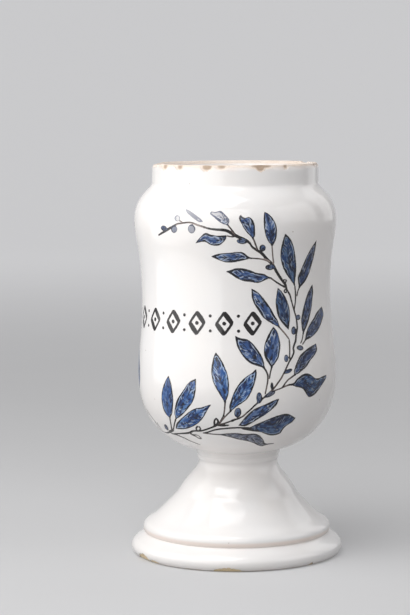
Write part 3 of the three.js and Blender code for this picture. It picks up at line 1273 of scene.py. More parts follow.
@dataclass
class InnerGlaze:
    """The coat of glaze inside, from the lip down over the floor."""

    sides: int = 256
    back_step: int = 3
    stretches: tuple[Stretch, ...] = (
        Stretch(52.2, 105.0, (0.737, 0.086, 0, 0.43), 20),
        Stretch(49.2, 154.0, (0, 0.367, 0, 0.51), 12),
        Stretch(53.0, 197.0, (0, 0.58, 0, 0.233), 12),
        Stretch(44.2, 218.5, (0, 0.51, 0, 0.14), 14),
        Stretch(44.2, 228.3, (0, 0.33, 0, 0.33), 6),
    )

    def clay_face(self) -> list[Point]:
        """The clay's face inside, from the middle of the floor up to the lip."""
        edge = (FORM.floor_radius, FORM.floor_level)
        floor = [(FORM.floor_radius * share, FORM.floor_level) for share in QUARTERS[:-1]]
        return floor + drawn(edge, self.stretches)

    def build(self) -> None:
        """Turns the coat."""
        face = self.clay_face()
        lining = shifted(face, FORM.lining)
        lining[0] = (0.0, lining[0][1])
        back = face[:1] + face[self.back_step :: self.back_step] + face[-1:]
        bm = spun(back + lining[::-1], self.sides, False)
        settle(bm, *turned_places(bm))
        made = piece("glaze_lining", bm, GLAZE.material)
        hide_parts("inner_glaze")


@dataclass
class ClayWare:
    """The thrown vessel and foot, bare at the lip, at the resting edge and in their chips.

    Attributes:
        sides: Number of sides of their turned forms.
        coarse: How many rings of the outline one ring stands for under the glaze.
        fine_rings: Rings below the lip that are all kept.
        hollow_rings: Rings of the hollow under the foot.
        lap: How far the clay reaches into the glaze, so that no gap shows.
        edge_zone: How far from its edge a knock reaches.
        rough: How rough a broken face is.
        shade_and_stain_width: Width of the darkening along a chip's far edge, which is partly dirt and partly
            painted shade under the broken edge of the glaze.
            shade_and_stain_peak, shade_and_stain_fall: How dark it is at that edge, and how fast it pales
            away from it.
        kept: How much of its relief a worn stretch keeps.
        lip_level: Level of the lip's outer shoulder.
        rest_edge: How far out and up the bare resting edge goes, step by step.
    """

    sides: int = 480
    coarse: int = 3
    fine_rings: int = 16
    hollow_rings: int = 24
    lap: float = 0.05
    edge_zone: float = 6.0
    rough: float = 0.16
    # The darkening in the chips: partly dirt, partly painted shade under the broken edge of the glaze
    shade_and_stain_width: float = 0.8
    shade_and_stain_peak: float = 1.7
    shade_and_stain_fall: float = 1.4
    kept: float = 0.05
    lip_level: float = 229.5
    rest_edge: tuple[Point, ...] = ((0.0, 0.0), (0.6, 0.25), (1.1, 0.7))

    def core(self) -> tuple[list[Point], list[Point]]:
        """The clay's outline under the glaze: the foot's part and the vessel's part."""
        line = shifted(FORM.skin, FORM.glaze - self.lap)
        joint = len(FORM.foot_skin) - 1
        return line[:joint], line[joint:]

    def build(self) -> None:
        """Turns both clay pieces and bites the chips out of them."""
        foot, vessel = self.core()
        joint_radius = vessel[0][0]
        lip = [(vessel[-1][0], self.lip_level)]
        land = [(FORM.land_radius - FORM.land_width * share, FORM.height) for share in QUARTERS]
        inside = InnerGlaze().clay_face()
        wall = vessel[1 : -self.fine_rings : self.coarse] + vessel[-self.fine_rings :]
        outline = [(0.0, FORM.joint_level), (joint_radius, FORM.joint_level), *wall, *lip, *land]
        outline += inside[: self.coarse : -self.coarse] + [(0.0, FORM.floor_level)]
        edge = (FORM.neck_radius, FORM.height)
        made = self.turn("thrown_vessel", outline, False, FORM.lip_knocks, edge, VESSEL_CLAY)
        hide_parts("clay_body")
        rest = [(FORM.rest_radius + out, level) for out, level in self.rest_edge]
        outline = rest + foot[1:] + [(joint_radius, FORM.foot_top)] + self.hollow()
        edge = (FORM.flange_radius, FORM.bare_edge[1])
        made = self.turn("thrown_foot", outline, True, FORM.flange_knocks, edge, FOOT_CLAY)
        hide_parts("clay_foot")

    def hollow(self) -> list[Point]:
        """The hollow under the foot, from its top down to the resting ring."""
        curve = eased(FORM.hollow, self.hollow_rings).tolist()
        return [(FORM.hollow[0][0], FORM.foot_top), *((radius, level) for radius, level in curve)]

    def turn(
        self,
        name: str,
        outline: Sequence[Point],
        closed: bool,
        knocks: Sequence[Knock],
        edge: Point,
        finish: ClayFinish,
    ) -> bpy.types.Object:
        """Turns one clay piece and bites its chips out of it.

        Args:
            name: The piece's name.
            outline: Its outline.
            closed: Whether the outline is a ring of its own.
            knocks: The knocks on its edge.
            edge: Radius and level of that edge.
            finish: Its finish.

        Returns:
            The piece.
        """
        bm = spun(outline, self.sides, closed)
        fresh = bm.verts.layers.float.new("fresh")
        azimuth, radius, level = turned_places(bm)
        near = (np.abs(level - edge[1]) < self.edge_zone) & (np.abs(radius - edge[0]) < self.edge_zone)
        rough = np.sin(91 * azimuth) * np.sin(4.1 * level + 2.9 * radius) + np.sin(37 * azimuth + 5.3 * level)
        # How dark each vertex is painted along the chips' edges, as dirt and as painted shade
        broken = np.zeros_like(level)
        for knock in knocks:
            share = np.minimum(knock.share(azimuth, edge[0]), 1.0)
            out, up = (radius - edge[0]) / knock.depth, (level - edge[1]) / knock.drop
            reach = np.maximum(np.hypot(out, up), TINY)
            limit = knock.bite(share)
            bitten = near & (share < 1) & (reach < limit)
            if knock.depth > FORM.neck_wall:
                face = edge[1] - knock.drop * np.sqrt(np.maximum(limit**2 - out**2, 0))
                level = np.where(bitten, face + self.kept * (level - face), level)
                continue
            push = np.where(bitten, limit / reach + self.rough * rough, 1.0)
            radius = np.where(bitten, edge[0] + out * knock.depth * push, radius)
            level = np.where(bitten, edge[1] + up * knock.drop * push, level)
            # Darkening near each chip's edge, kept for the clay's finish: partly dirt, partly painted shade
            # under the broken edge of the glaze
            away = np.abs(reach - limit) * knock.drop / self.shade_and_stain_width
            shade_and_dirt = np.clip(self.shade_and_stain_peak - self.shade_and_stain_fall * away, 0, 1) * knock.fresh
            broken = np.where(near & (share < 1), np.maximum(broken, shade_and_dirt), broken)
        for vert, amount in zip(bm.verts, broken):
            vert[fresh] = float(amount)
        settle(bm, azimuth, radius, level)
        return piece(name, bm, finish.material)


# Painting


class Wash(Enum):
    """The washes that a leaf is filled with."""

    COBALT = LeafFinish()
    AZURE = LeafFinish(
        "azure_leaf",
        deep=(0.007, 0.021, 0.092),
        wash=(0.030, 0.098, 0.305),
        steel=(0.105, 0.22, 0.46),
        bare=(0.42, 0.53, 0.72),
        outline=0.72,
    )
    MIDNIGHT = LeafFinish(
        "midnight_leaf",
        deep=(0.003, 0.009, 0.040),
        wash=(0.014, 0.045, 0.145),
        steel=(0.072, 0.140, 0.27),
        bare=(0.32, 0.38, 0.48),
        veining=0.6,
    )
    # A darker, greyer copy of the cobalt wash for the leaves round on the jar's shaded right side: painted
    # shade
    SHADED_INK = LeafFinish(
        "shaded_ink_leaf",
        deep=(0.006, 0.012, 0.045),
        wash=(0.028, 0.054, 0.150),
        steel=(0.100, 0.145, 0.27),
        bare=(0.34, 0.37, 0.45),
        veining=0.7,
    )
    BERRY = LeafFinish(
        "cobalt_berry",
        deep=(0.005, 0.010, 0.038),
        wash=(0.022, 0.050, 0.140),
        steel=(0.095, 0.15, 0.28),
        outline=0.55,
        stripe=0.25,
        veining=0.3,
    )
    SLATE = LeafFinish(
        "slate_leaf",
        deep=(0.020, 0.027, 0.054),
        wash=(0.080, 0.099, 0.160),
        steel=(0.19, 0.218, 0.30),
        bare=(0.36, 0.38, 0.44),
        line=(0.016, 0.018, 0.026),
    )
    PLAIN = LeafFinish(
        "plain_leaf",
        deep=(0.007, 0.021, 0.085),
        wash=(0.026, 0.080, 0.255),
        steel=(0.075, 0.165, 0.38),
        bare=(0.30, 0.42, 0.62),
        outline=0.66,
        stripe=0.45,
        veining=0.35,
    )


EASED_STEPS = 8


def eased(points: Sequence[Sequence[float]], count: int) -> np.ndarray:
    """A smooth line through points, in even steps.

    Args:
        points: The points that it passes.
        count: How many steps it has.

    Returns:
        An array of count + 1 points.
    """
    line = np.array(points, float)
    if len(line) > 2:
        padded = np.vstack((2 * line[0] - line[1], line, 2 * line[-1] - line[-2]))
        finer = []
        for a, b, c, d in zip(padded, padded[1:], padded[2:], padded[3:]):
            slope, bend, twist = c - a, 2 * a - 5 * b + 4 * c - d, 3 * b - a - 3 * c + d
            for t in np.linspace(0, 1, EASED_STEPS, endpoint=False):
                finer.append(0.5 * (2 * b + slope * t + bend * t**2 + twist * t**3))
        line = np.vstack((finer, line[-1]))
    travelled = np.concatenate(([0.0], np.cumsum(np.linalg.norm(np.diff(line, axis=0), axis=1))))
    steps = np.linspace(0, travelled[-1], count + 1)
    return np.stack([np.interp(steps, travelled, line[:, axis]) for axis in range(line.shape[1])], axis=1)


@dataclass(frozen=True)
class Unrolled:
    """The glazed surface round one brush mark, laid flat in millimetres.

    Attributes:
        radius: Radius at the mark.
        mirrored: Whether the mark belongs to the wreath's left branch.
        middle: The wreath's middle, as levels and degrees, about which the left branch mirrors the right.
    """

    radius: float
    mirrored: bool = False
    middle: tuple[Point, ...] = ((60, -44), (75, -44), (105, -44.6), (140, -54), (200, -68), (230, -72))

    @classmethod
    def under(cls, spot: Pixel, mirrored: bool = False) -> "Unrolled":
        """The flat sheet under a pixel of the picture."""
        _, level = CAMERA.land(spot)
        return cls(float(FORM.radius_at(level)), mirrored)

    def flat(self, spot: Pixel) -> Point:
        """A pixel's place on the flat sheet."""
        azimuth, level = CAMERA.land(spot)
        return azimuth * self.radius, float(FORM.travel_at(level))

    def swapped(self, azimuth: np.ndarray, level: np.ndarray) -> np.ndarray:
        """The same angles, or their mirror images about the wreath's middle on a mirrored sheet."""
        if not self.mirrored:
            return azimuth
        levels, middles = zip(*self.middle)
        return 2 * np.radians(np.interp(level, levels, middles)) - azimuth

    def rolled(self, across: np.ndarray, travel: np.ndarray) -> tuple[np.ndarray, np.ndarray]:
        """The angles and levels of places on the flat sheet."""
        level = FORM.level_at(travel)
        return self.swapped(across / self.radius, level), level

    def unrolled(self, azimuth: np.ndarray, level: np.ndarray) -> np.ndarray:
        """The places on the flat sheet of angles and levels, one row each."""
        return np.stack((self.swapped(azimuth, level) * self.radius, FORM.travel_at(level)), axis=1)


def depth_inside(spots: np.ndarray, outline: np.ndarray) -> np.ndarray:
    """How deep each of some spots lies inside an outline.

    Args:
        spots: The spots.
        outline: The outline's corners in order.

    Returns:
        The distance to the outline, negative outside it.
    """
    start, end = outline, np.roll(outline, -1, axis=0)
    span = end - start
    length = np.maximum(np.sum(span * span, axis=1), TINY)
    away = spots[:, None, :] - start[None]
    share = np.clip(np.sum(away * span[None], axis=2) / length, 0, 1)
    distance = np.min(np.linalg.norm(away - share[..., None] * span[None], axis=2), axis=1)
    above = start[None, :, 1] > spots[:, None, 1]
    crosses = above != (end[None, :, 1] > spots[:, None, 1])
    rise = np.where(np.abs(span[:, 1]) < TINY, TINY, span[:, 1])
    meets = start[None, :, 0] + (spots[:, None, 1] - start[None, :, 1]) * (span[:, 0] / rise)[None]
    inside = np.sum(crosses & (spots[:, None, 0] < meets), axis=1) % 2 == 1
    return np.where(inside, distance, -distance)


@dataclass
class Film:
    """A thin closed film of colour that lies in the glaze.

    Attributes:
        name: The piece's name.
        finish: Its finish.
        slot: The record's slot; not used.
        proud: How far its face stands out of the glaze.
        halo: Bare rim round each mark, over which its colour gives way to the glaze.
        sunk: How far its back lies in the glaze.
        narrow: Width under which a mark grows its rim square to its own middle.
        mark_seed, mirror_seed: What each mark, and a mirrored one, adds to the number of its streaks.
        under: Films of lines below it, which show through its bare rim.
        marks: How many marks it has, which numbers them for the streaks.
        bm: Its mesh.
        outlines: The drawn outline of each mark, with its sheet.
        laid: The vertices of each mark, with their angles and levels.
    """

    name: str
    finish: Finish
    slot: Slot
    proud: float = 0.035
    halo: float = 0.38
    sunk: float = 0.06
    narrow: float = 1.5
    mark_seed: float = 3.7
    mirror_seed: float = 11.3
    under: tuple["Film", ...] = ()
    marks: int = 0
    bm: bmesh.types.BMesh = field(default_factory=bmesh.new)
    outlines: list[tuple[Unrolled, np.ndarray]] = field(default_factory=list)
    laid: list[tuple[list[bmesh.types.BMVert], np.ndarray, np.ndarray]] = field(default_factory=list)

    def __post_init__(self) -> None:
        """Gives the mesh the attributes that the paint reads."""
        layers = self.bm.verts.layers
        self.inside = layers.float.new("inside")
        self.tone = layers.float.new("tone")
        self.stroke = layers.float_vector.new("stroke")

    def mark(
        self, sheet: Unrolled, left: np.ndarray, right: np.ndarray, tone: Point, across: int = 8
    ) -> None:
        """Lays one brush mark.

        Args:
            sheet: The flat sheet that it's drawn on.
            left: Its left side from tip to base, in millimetres on the sheet.
            right: Its right side, with as many points.
            tone: How full the brush was at its start and at its end.
            across: Number of faces across the mark.
        """
        outline = np.vstack((left, right[::-1]))
        middle = (left + right) / 2
        along, side = headings(middle)
        side *= np.sign(np.sum((left - right) * side, axis=1).sum() or 1.0)
        reach = left - right
        width = np.linalg.norm(reach, axis=1)
        share = np.clip(width / self.narrow, 0, 1)[:, None]
        outward = side * (1 - share) + reach / np.maximum(width, TINY)[:, None] * share
        outward /= np.linalg.norm(outward, axis=1)[:, None]
        wide_left, wide_right = left + outward * self.halo, right - outward * self.halo
        for wide in (wide_left, wide_right):
            wide[0] -= along[0] * self.halo
            wide[-1] += along[-1] * self.halo
        steps = len(left) - 1
        made = bmesh.ops.create_grid(self.bm, x_segments=steps, y_segments=across, size=1)["verts"]
        faces = list(dict.fromkeys(face for vert in made for face in vert.link_faces))
        shares = np.array([((vert.co.x + 1) / 2 * steps, (vert.co.y + 1) / 2) for vert in made])
        rows = np.arange(steps + 1)

        def at(line: np.ndarray) -> np.ndarray:
            """Each vertex's place on a line along the mark."""
            return np.stack([np.interp(shares[:, 0], rows, line[:, axis]) for axis in (0, 1)], axis=1)

        spots = at(wide_left) * shares[:, 1:] + at(wide_right) * (1 - shares[:, 1:])
        depth = depth_inside(spots, outline)
        run = np.concatenate(([0.0], np.cumsum(np.linalg.norm(np.diff(middle, axis=0), axis=1))))
        run = np.interp(shares[:, 0], rows, run)
        offset = np.sum((spots - at(middle)) * at(side), axis=1)
        fullness = np.interp(shares[:, 0] / steps, (0, 1), tone)
        seed = self.mark_seed * self.marks + self.mirror_seed * sheet.mirrored
        self.marks += 1
        grown = bmesh.ops.extrude_face_region(self.bm, geom=faces, use_keep_orig=True)
        tops = {vert for vert in grown["geom"] if isinstance(vert, bmesh.types.BMVert)}
        kinds = {self.key(vert.co): index for index, vert in enumerate(made)}
        azimuth, level = sheet.rolled(spots[:, 0], spots[:, 1])
        face = FORM.on_glaze(azimuth, level, self.proud)
        back = FORM.on_glaze(azimuth, level, -self.sunk)
        verts = [*made, *tops]
        order = [kinds[self.key(vert.co)] for vert in verts]
        for vert, index in zip(verts, order):
            vert[self.inside] = float(depth[index])
            vert[self.tone] = float(fullness[index])
            vert[self.stroke] = Vector((float(run[index]), float(offset[index]), seed))
            vert.co = (face if vert in tops else back)[index]
        self.outlines.append((sheet, outline))
        self.laid.append((verts, azimuth[order], level[order]))

    @staticmethod
    def key(place: Vector) -> tuple[int, int]:
        """A name for a place on the unit grid."""
        return round(place.x / WELD), round(place.y / WELD)

    def soak(self, margin: float = 2.0) -> None:
        """Lets marks that meet run together, also with those of the films below.

        Args:
            margin: How near an outline a vertex has to be for it to count, in millimetres.
        """
        outlines = [found for film in (self, *self.under) for found in film.outlines]
        for verts, azimuth, level in self.laid:
            depth = np.array([vert[self.inside] for vert in verts])
            for sheet, outline in outlines:
                spots = sheet.unrolled(azimuth, level)
                low, high = outline.min(axis=0) - margin, outline.max(axis=0) + margin
                close = np.all((spots > low) & (spots < high), axis=1)
                if close.any():
                    depth[close] = np.maximum(depth[close], depth_inside(spots[close], outline))
            for vert, amount in zip(verts, depth):
                vert[self.inside] = float(amount)

    def finish_piece(self) -> bpy.types.Object:
        """Closes the film up and makes it a piece."""
        self.soak()
        self.laid.clear()
        bmesh.ops.recalc_face_normals(self.bm, faces=self.bm.faces)
        made = piece(self.name, self.bm, self.finish.material)
        places = np.array([vert.co[:] for vert in made.data.vertices]) / MM
        azimuth = np.arctan2(places[:, 0] - FORM.lean_at(places[:, 2]), -places[:, 1])
        facing = FORM.normal(azimuth, places[:, 2]).tolist()
        made.data.normals_split_custom_set_from_vertices(facing)
        return made


@dataclass(frozen=True)
class Stroke:
    """One brush line in the picture: the pixels that it passes, its widths in millimetres and its tone."""

    points: tuple[Pixel, ...]
    widths: tuple[float, ...]
    tone: float

    def lay(self, film: Film, mirrored: bool = False) -> None:
        """Lays the line on a film."""
        sheet = Unrolled.under(self.points[len(self.points) // 2], mirrored)
        ribbon(film, sheet, [sheet.flat(point) for point in self.points], self.widths, (self.tone, self.tone))


# How far a brush line runs past its ends, how much it spreads on the raw glaze, the steps and the faces
# that it is laid in, and the share of its width that it keeps at its ends. Lengths are in millimetres.
OVERRUN = 0.6
BLEED = 0.3
RIBBON_STEP = 0.9
FEWEST_STEPS = 6
RIBBON_FACES = 4
BLUNT_END = 0.3


def ribbon(film: Film, sheet: Unrolled, line: Sequence[Point], widths: Sequence[float], tone: Point) -> None:
    """Lays a line of changing width.

    Args:
        film: The film it goes on.
        sheet: The flat sheet that it's drawn on.
        line: The places that it passes, in millimetres on the sheet.
        widths: Its widths, evenly spaced along it.
        tone: How full the brush was at its start and at its end.
    """
    spots = np.array(line, float)
    for end, inner in ((0, 1), (-1, -2)):
        spots[end] += OVERRUN * (spots[end] - spots[inner]) / np.linalg.norm(spots[end] - spots[inner])
    length = float(np.sum(np.linalg.norm(np.diff(spots, axis=0), axis=1)))
    steps = max(FEWEST_STEPS, round(length / RIBBON_STEP))
    middle = eased(spots, steps)
    _, side = headings(middle)
    share = np.linspace(0, 1, steps + 1)
    width = np.interp(share, np.linspace(0, 1, len(widths)), widths)
    width = (width + BLEED) * np.clip((0.5 - np.abs(share - 0.5)) * length / OVERRUN, BLUNT_END, 1)
    half = side * width[:, None] / 2
    film.mark(sheet, middle + half, middle - half, tone, RIBBON_FACES)


ROUND_END = 0.12


def round_sides(half: Point, count: int) -> list[np.ndarray]:
    """The two sides of a round mark about its middle.

    Args:
        half: Its half width and its half height.
        count: How many points each side has.

    Returns:
        The sides, each an array with one row for each point.
    """
    turns = np.linspace(ROUND_END, math.pi - ROUND_END, count)
    return [np.stack((hand * half[0] * np.sin(turns), -half[1] * np.cos(turns)), axis=1) for hand in (1, -1)]


@dataclass(frozen=True)
class Leaf:
    """One leaf of the wreath as the picture shows it.

    Attributes:
        name: Its place on the branch.
        tip: Pixel of its tip.
        first: Pixels down one side, from the tip.
        base: Pixel of its base.
        second: Pixels down its other side.
        tone: How full the brush was at its tip and at its base, where 1 is full and 0 is nearly dry.
        wash: What it's filled with.
        steps, faces: Steps that it's laid in along, and faces across.
    """

    name: str
    tip: Pixel
    first: tuple[Pixel, ...]
    base: Pixel
    second: tuple[Pixel, ...]
    tone: Point = (0.9, 0.9)
    wash: Wash = Wash.COBALT
    steps: int = 26
    faces: int = 12

    def lay(self, film: Film, mirrored: bool) -> None:
        """Lays the leaf on a film."""
        sheet = Unrolled.under(self.first[len(self.first) // 2], mirrored)
        sides = [
            eased([sheet.flat(spot) for spot in (self.tip, *way, self.base)], self.steps)
            for way in (self.first, self.second)
        ]
        film.mark(sheet, *sides, self.tone, self.faces)


@dataclass(frozen=True)
class Berry:
    """One berry: the pixel of its middle, its half sizes in pixels, its turn in degrees and its tone."""

    middle: Pixel
    half: Pixel
    turn: float = 0.0
    tone: float = 0.9
    points: int = 13

    def lay(self, film: Film, mirrored: bool) -> None:
        """Lays the berry on a film."""
        sheet = Unrolled.under(self.middle, mirrored)
        sine, cosine = math.sin(math.radians(self.turn)), math.cos(math.radians(self.turn))
        turned = np.array(((cosine, sine), (-sine, cosine)))
        sides = [
            np.array([sheet.flat((column, row)) for column, row in (side @ turned + self.middle).tolist()])
            for side in round_sides(self.half, self.points)
        ]
        film.mark(sheet, *sides, (self.tone, self.tone))


LEAVES: tuple[Leaf, ...] = (
    Leaf(
        "01",
        (210.1, 213.8),
        (
            (211.3, 211.7), (215.4, 212.3), (220.2, 211.1), (223.7, 213.5), (226.9, 216.9), (228.9, 219.6),
            (228.9, 222.4),
        ),
        (227.3, 224.8),
        ((215.4, 218.4), (219.8, 222), (223.7, 224)),
        (0.15, 0.32),
    ),
    Leaf(
        "02",
        (195.4, 243.2),
        ((200.3, 237.3), (205.2, 233.1), (210.8, 234.8), (217.8, 235.9), (225.5, 235.5)),
        (226.2, 237.3),
        (
            (202.4, 241.5), (206.6, 242.2), (209.4, 244.3), (213.6, 245.4), (218.5, 245.4), (222, 243.2),
            (225.5, 239.4),
        ),
        (0.5, 0.95),
    ),
    Leaf(
        "03",
        (240.5, 214.7),
        ((239.1, 217.7), (239.9, 220.8), (241.9, 224), (243.5, 227.5), (246.7, 231.9), (250.6, 236.2)),
        (252.8, 238.4),
        (
            (241.9, 216.5), (244.7, 218), (248.6, 217.1), (252.2, 219.6), (254, 223.2), (254.8, 227.9),
            (255, 232.7), (254.6, 236.2),
        ),
        (0.95, 0.8),
    ),
    Leaf(
        "04",
        (264.4, 212),
        ((263.8, 218.9), (264.1, 226), (265.1, 232.5), (267.7, 240.3)),
        (271.9, 245.2),
        ((268.3, 214), (272.9, 218.9), (275.8, 224.7), (276.8, 231.2), (275.8, 239), (273.5, 244.2)),
        (0.6, 0.8),
    ),
    Leaf(
        "05",
        (285.3, 233.8),
        ((283, 240.3), (281, 249.4), (280.7, 257.3), (282.3, 265.1), (285.3, 272.2), (289.8, 278.7)),
        (294.4, 285.2),
        ((289.8, 238.4), (293.1, 245.5), (295, 255.3), (296, 265.1), (295.7, 274.8)),
        (1, 1),
        Wash.MIDNIGHT,
    ),
    Leaf(
        "06",
        (316.5, 240.3),
        ((311.3, 248.1), (306.7, 256.6), (303.5, 263.8), (300.2, 271.6), (297.9, 278.1)),
        (299.2, 287.8),
        ((314.9, 250.7), (313.2, 258.6), (310.6, 267.7), (308, 275.5), (304.1, 282.6)),
        (0.95, 0.95),
        Wash.SHADED_INK,
    ),
    Leaf(
        "07",
        (211.1, 256.4),
        ((218.9, 253.9), (229.2, 253), (238.9, 252.1), (243.8, 253), (247.4, 256.1)),
        (251.4, 258.2),
        ((217.1, 259.1), (224.4, 261.8), (231.1, 262.4), (238.9, 261.2), (246.2, 259.4)),
        (0.7, 0.95),
    ),
    Leaf(
        "08",
        (225.9, 271.5),
        (
            (231.7, 270), (235.3, 268.5), (242.6, 268.5), (249.8, 270.3), (256.5, 273), (263.2, 273.9),
            (267.4, 276.1),
        ),
        (270.5, 277.9),
        (
            (231.1, 274.2), (236.5, 277.9), (243.8, 280.9), (251.1, 281.8), (258.3, 282.7), (264.4, 280.3),
            (268.6, 278.2),
        ),
        (0.95, 0.75),
    ),
    Leaf(
        "09",
        (251.4, 288.8),
        ((251.7, 291.2), (252, 297.3), (254.7, 304.5), (259.5, 311.8), (263.8, 317.9), (271.7, 323.3)),
        (279.5, 327.3),
        ((256.5, 291.5), (260.8, 295.5), (266.2, 302.1), (270.5, 308.2), (274.1, 314.8), (277.7, 320.9)),
        (0.95, 0.8),
    ),
    Leaf(
        "10",
        (277.7, 287.9),
        ((276.7, 294.9), (275.9, 302.4), (276.7, 309.8), (278.4, 316.3), (281.9, 322.3), (285.9, 326.7)),
        (288.6, 329.7),
        ((281.9, 291.9), (285.4, 297.4), (287.9, 303.4), (289.6, 309.8), (289.9, 317.3), (289.4, 324.8)),
        (0.85, 0.9),
        Wash.MIDNIGHT,
    ),
    Leaf(
        "11",
        (312.2, 284.5),
        ((309, 290.4), (306.3, 297.4), (304.3, 304.9), (302.5, 312.3), (301.5, 319.8), (302, 327.2)),
        (303.3, 334.2),
        ((313, 291.4), (312.2, 298.9), (311.5, 306.8), (310.2, 313.8), (308.3, 321.8), (305.3, 329.7)),
        (0.85, 0.9),
        Wash.SHADED_INK,
    ),
    Leaf(
        "12",
        (321.5, 306.6),
        ((316.7, 312.3), (313.7, 318.3), (310.2, 323.8), (307.8, 328.7), (306, 334.7)),
        (305.5, 339.9),
        ((323.2, 313.8), (321.7, 320.8), (319.2, 327.7), (315.2, 333.7), (309.8, 338.2)),
        (0.9, 0.9),
        Wash.SHADED_INK,
    ),
    Leaf(
        "13",
        (235.2, 336),
        ((235.9, 340.6), (237.6, 346.8), (240.9, 353), (245.7, 359.2), (251, 363.5), (257.7, 365.9)),
        (264.1, 367.8),
        (
            (240, 338.2), (247.1, 339.6), (251.9, 343), (256.7, 348.7), (260.5, 354), (262.9, 359.2),
            (264.1, 364),
        ),
        (0.95, 0.9),
    ),
    Leaf(
        "14",
        (273.5, 326.9),
        ((270.1, 332), (266.8, 338.7), (264.8, 344.9), (264.1, 351.1), (265.1, 357.3), (268.2, 362.6)),
        (271.8, 367.6),
        ((276.8, 331), (279, 337.7), (280.4, 344.9), (279.7, 351.6), (278.2, 358.3), (274.9, 363.5)),
        (0.85, 0.8),
    ),
    Leaf(
        "15",
        (316, 343.6),
        ((309.7, 347.4), (305.4, 350.8), (301.1, 354.6), (298.2, 359.9), (295.8, 365.6), (294.4, 370.9)),
        (294.9, 375),
        ((317.1, 349.4), (314.7, 355.1), (310.7, 359.9), (307.3, 365.6), (302.5, 370.4), (297.8, 373.8)),
        (0.8, 0.9),
        Wash.SHADED_INK,
    ),
    Leaf(
        "16",
        (326.5, 375.2),
        (
            (324.1, 375.7), (319.3, 378.1), (315, 378.3), (312.1, 375.7), (308.8, 373.8), (304.9, 373.8),
            (300.6, 376.1), (296.8, 379.5),
        ),
        (293, 384.5),
        (
            (326, 378.1), (323.6, 382.4), (320.7, 386.7), (317.4, 391.5), (313.5, 395.3), (309.2, 397),
            (306.4, 393.9), (303.5, 389.1), (299.7, 387.2), (295.8, 386.7),
        ),
        (1, 0.95),
        Wash.MIDNIGHT,
    ),
    Leaf(
        "17",
        (215.7, 352.4),
        ((213, 359.7), (211.4, 370.5), (212.4, 378.5), (214.7, 385.2), (218.4, 391.9), (221.7, 397.2)),
        (225.1, 402.6),
        ((219.7, 357.7), (223.1, 363.8), (226.4, 371.8), (228.4, 379.8), (228.8, 387.9), (227.8, 395.9)),
        (0.8, 0.9),
        Wash.AZURE,
    ),
    Leaf(
        "18",
        (256.2, 369.1),
        ((251.2, 373.8), (245.2, 377.8), (239.8, 383.2), (235.1, 390.5), (231.8, 398.6), (229.4, 406.6)),
        (230.5, 411.3),
        ((256.6, 374.5), (254.6, 383.2), (251.9, 390.5), (247.9, 397.9), (242.5, 402.6), (236.5, 406.6)),
        (0.8, 0.9),
        Wash.AZURE,
    ),
    Leaf(
        "19",
        (279.3, 398.6),
        ((272, 401.3), (265.3, 404.6), (258.6, 407.3), (253.2, 410), (246.5, 416), (242.5, 420.7)),
        (238.5, 425.4),
        ((276.7, 404.6), (272, 409.3), (266, 414), (258.6, 418.7), (251.9, 422.7), (245.2, 426)),
        (0.95, 1),
    ),
    Leaf(
        "20",
        (295.4, 418),
        ((288.1, 414), (281.4, 414.7), (274.7, 416.7), (268.6, 419.3), (261.9, 422), (255.2, 424.7)),
        (249.2, 428.1),
        (
            (292.1, 422), (286.7, 425.4), (282.7, 429.4), (280, 433.4), (272, 435.4), (265.3, 433.7),
            (259.9, 431.4), (254.6, 429.7),
        ),
        (0.95, 1),
        Wash.MIDNIGHT,
    ),
    Leaf(
        "25",
        (185.5, 209.2),
        ((189.6, 211), (195.5, 215.2), (200.6, 219.2)),
        (202.6, 221.8),
        ((187, 212.6), (192.5, 217.4), (198.4, 221.6)),
        (0.08, 0.15),
    ),
)

STEMS: tuple[Stroke, ...] = (
    Stroke(((158.5, 235.2), (165.2, 231), (177.1, 223.9)), (0.68, 1.22, 0.68), 0.75),
    Stroke(((177.1, 223.9), (189.1, 222.5), (198.2, 225.4), (206, 227.8)), (0.68, 0.68, 0.81), 0.3),
    Stroke(
        (
            (202.8, 227.1), (212.2, 229.2), (223.7, 230.1), (228.5, 231.5), (234.8, 235.1), (241.1, 238.2),
            (246.7, 240.6), (250.6, 244.1),
        ),
        (0.68, 0.94, 1.35, 1.62, 1.49, 0.94),
        0.9,
    ),
    Stroke(
        (
            (250.6, 244.1), (252.2, 246.9), (256.9, 250.1), (261.8, 253.4), (267, 259.2), (272.9, 265.1),
            (276.8, 272.2), (281.4, 279.4), (285.9, 285.2),
        ),
        (0.81, 1.35, 1.49, 1.35, 1.22),
        0.98,
    ),
    Stroke(
        (
            (285.9, 285.2), (286.9, 289.9), (289.9, 294.9), (291.8, 301.9), (294.3, 310.8), (296.3, 317.8),
            (297.4, 327.9), (296.3, 334.7), (295.8, 340.9), (293.5, 347.7), (294, 352.5), (291.6, 358.3),
        ),
        (1.08, 0.68, 0.81, 1.08, 0.81),
        0.7,
    ),
    Stroke(
        (
            (291.6, 358.3), (288.8, 363.1), (285.4, 370.5), (281.6, 377.9), (277.6, 383.6), (272, 390.5),
            (264.6, 397.2), (256.6, 403.9), (247.9, 412), (241.2, 417.3), (231.8, 420.7),
        ),
        (0.81, 0.68, 0.81, 0.68, 0.81),
        0.62,
    ),
    Stroke(((294.8, 285.9), (295.6, 294.9), (295.3, 302.9), (294.3, 309.8)), (0.68, 0.68, 0.54), 0.55),
    Stroke(((289.4, 339.7), (289.9, 348.6), (289.7, 358.3)), (0.68, 0.68, 0.68), 0.7),
    Stroke(((242.5, 428.4), (253, 430), (264, 431.4)), (1.08, 1.62, 0.94), 0.95),
)

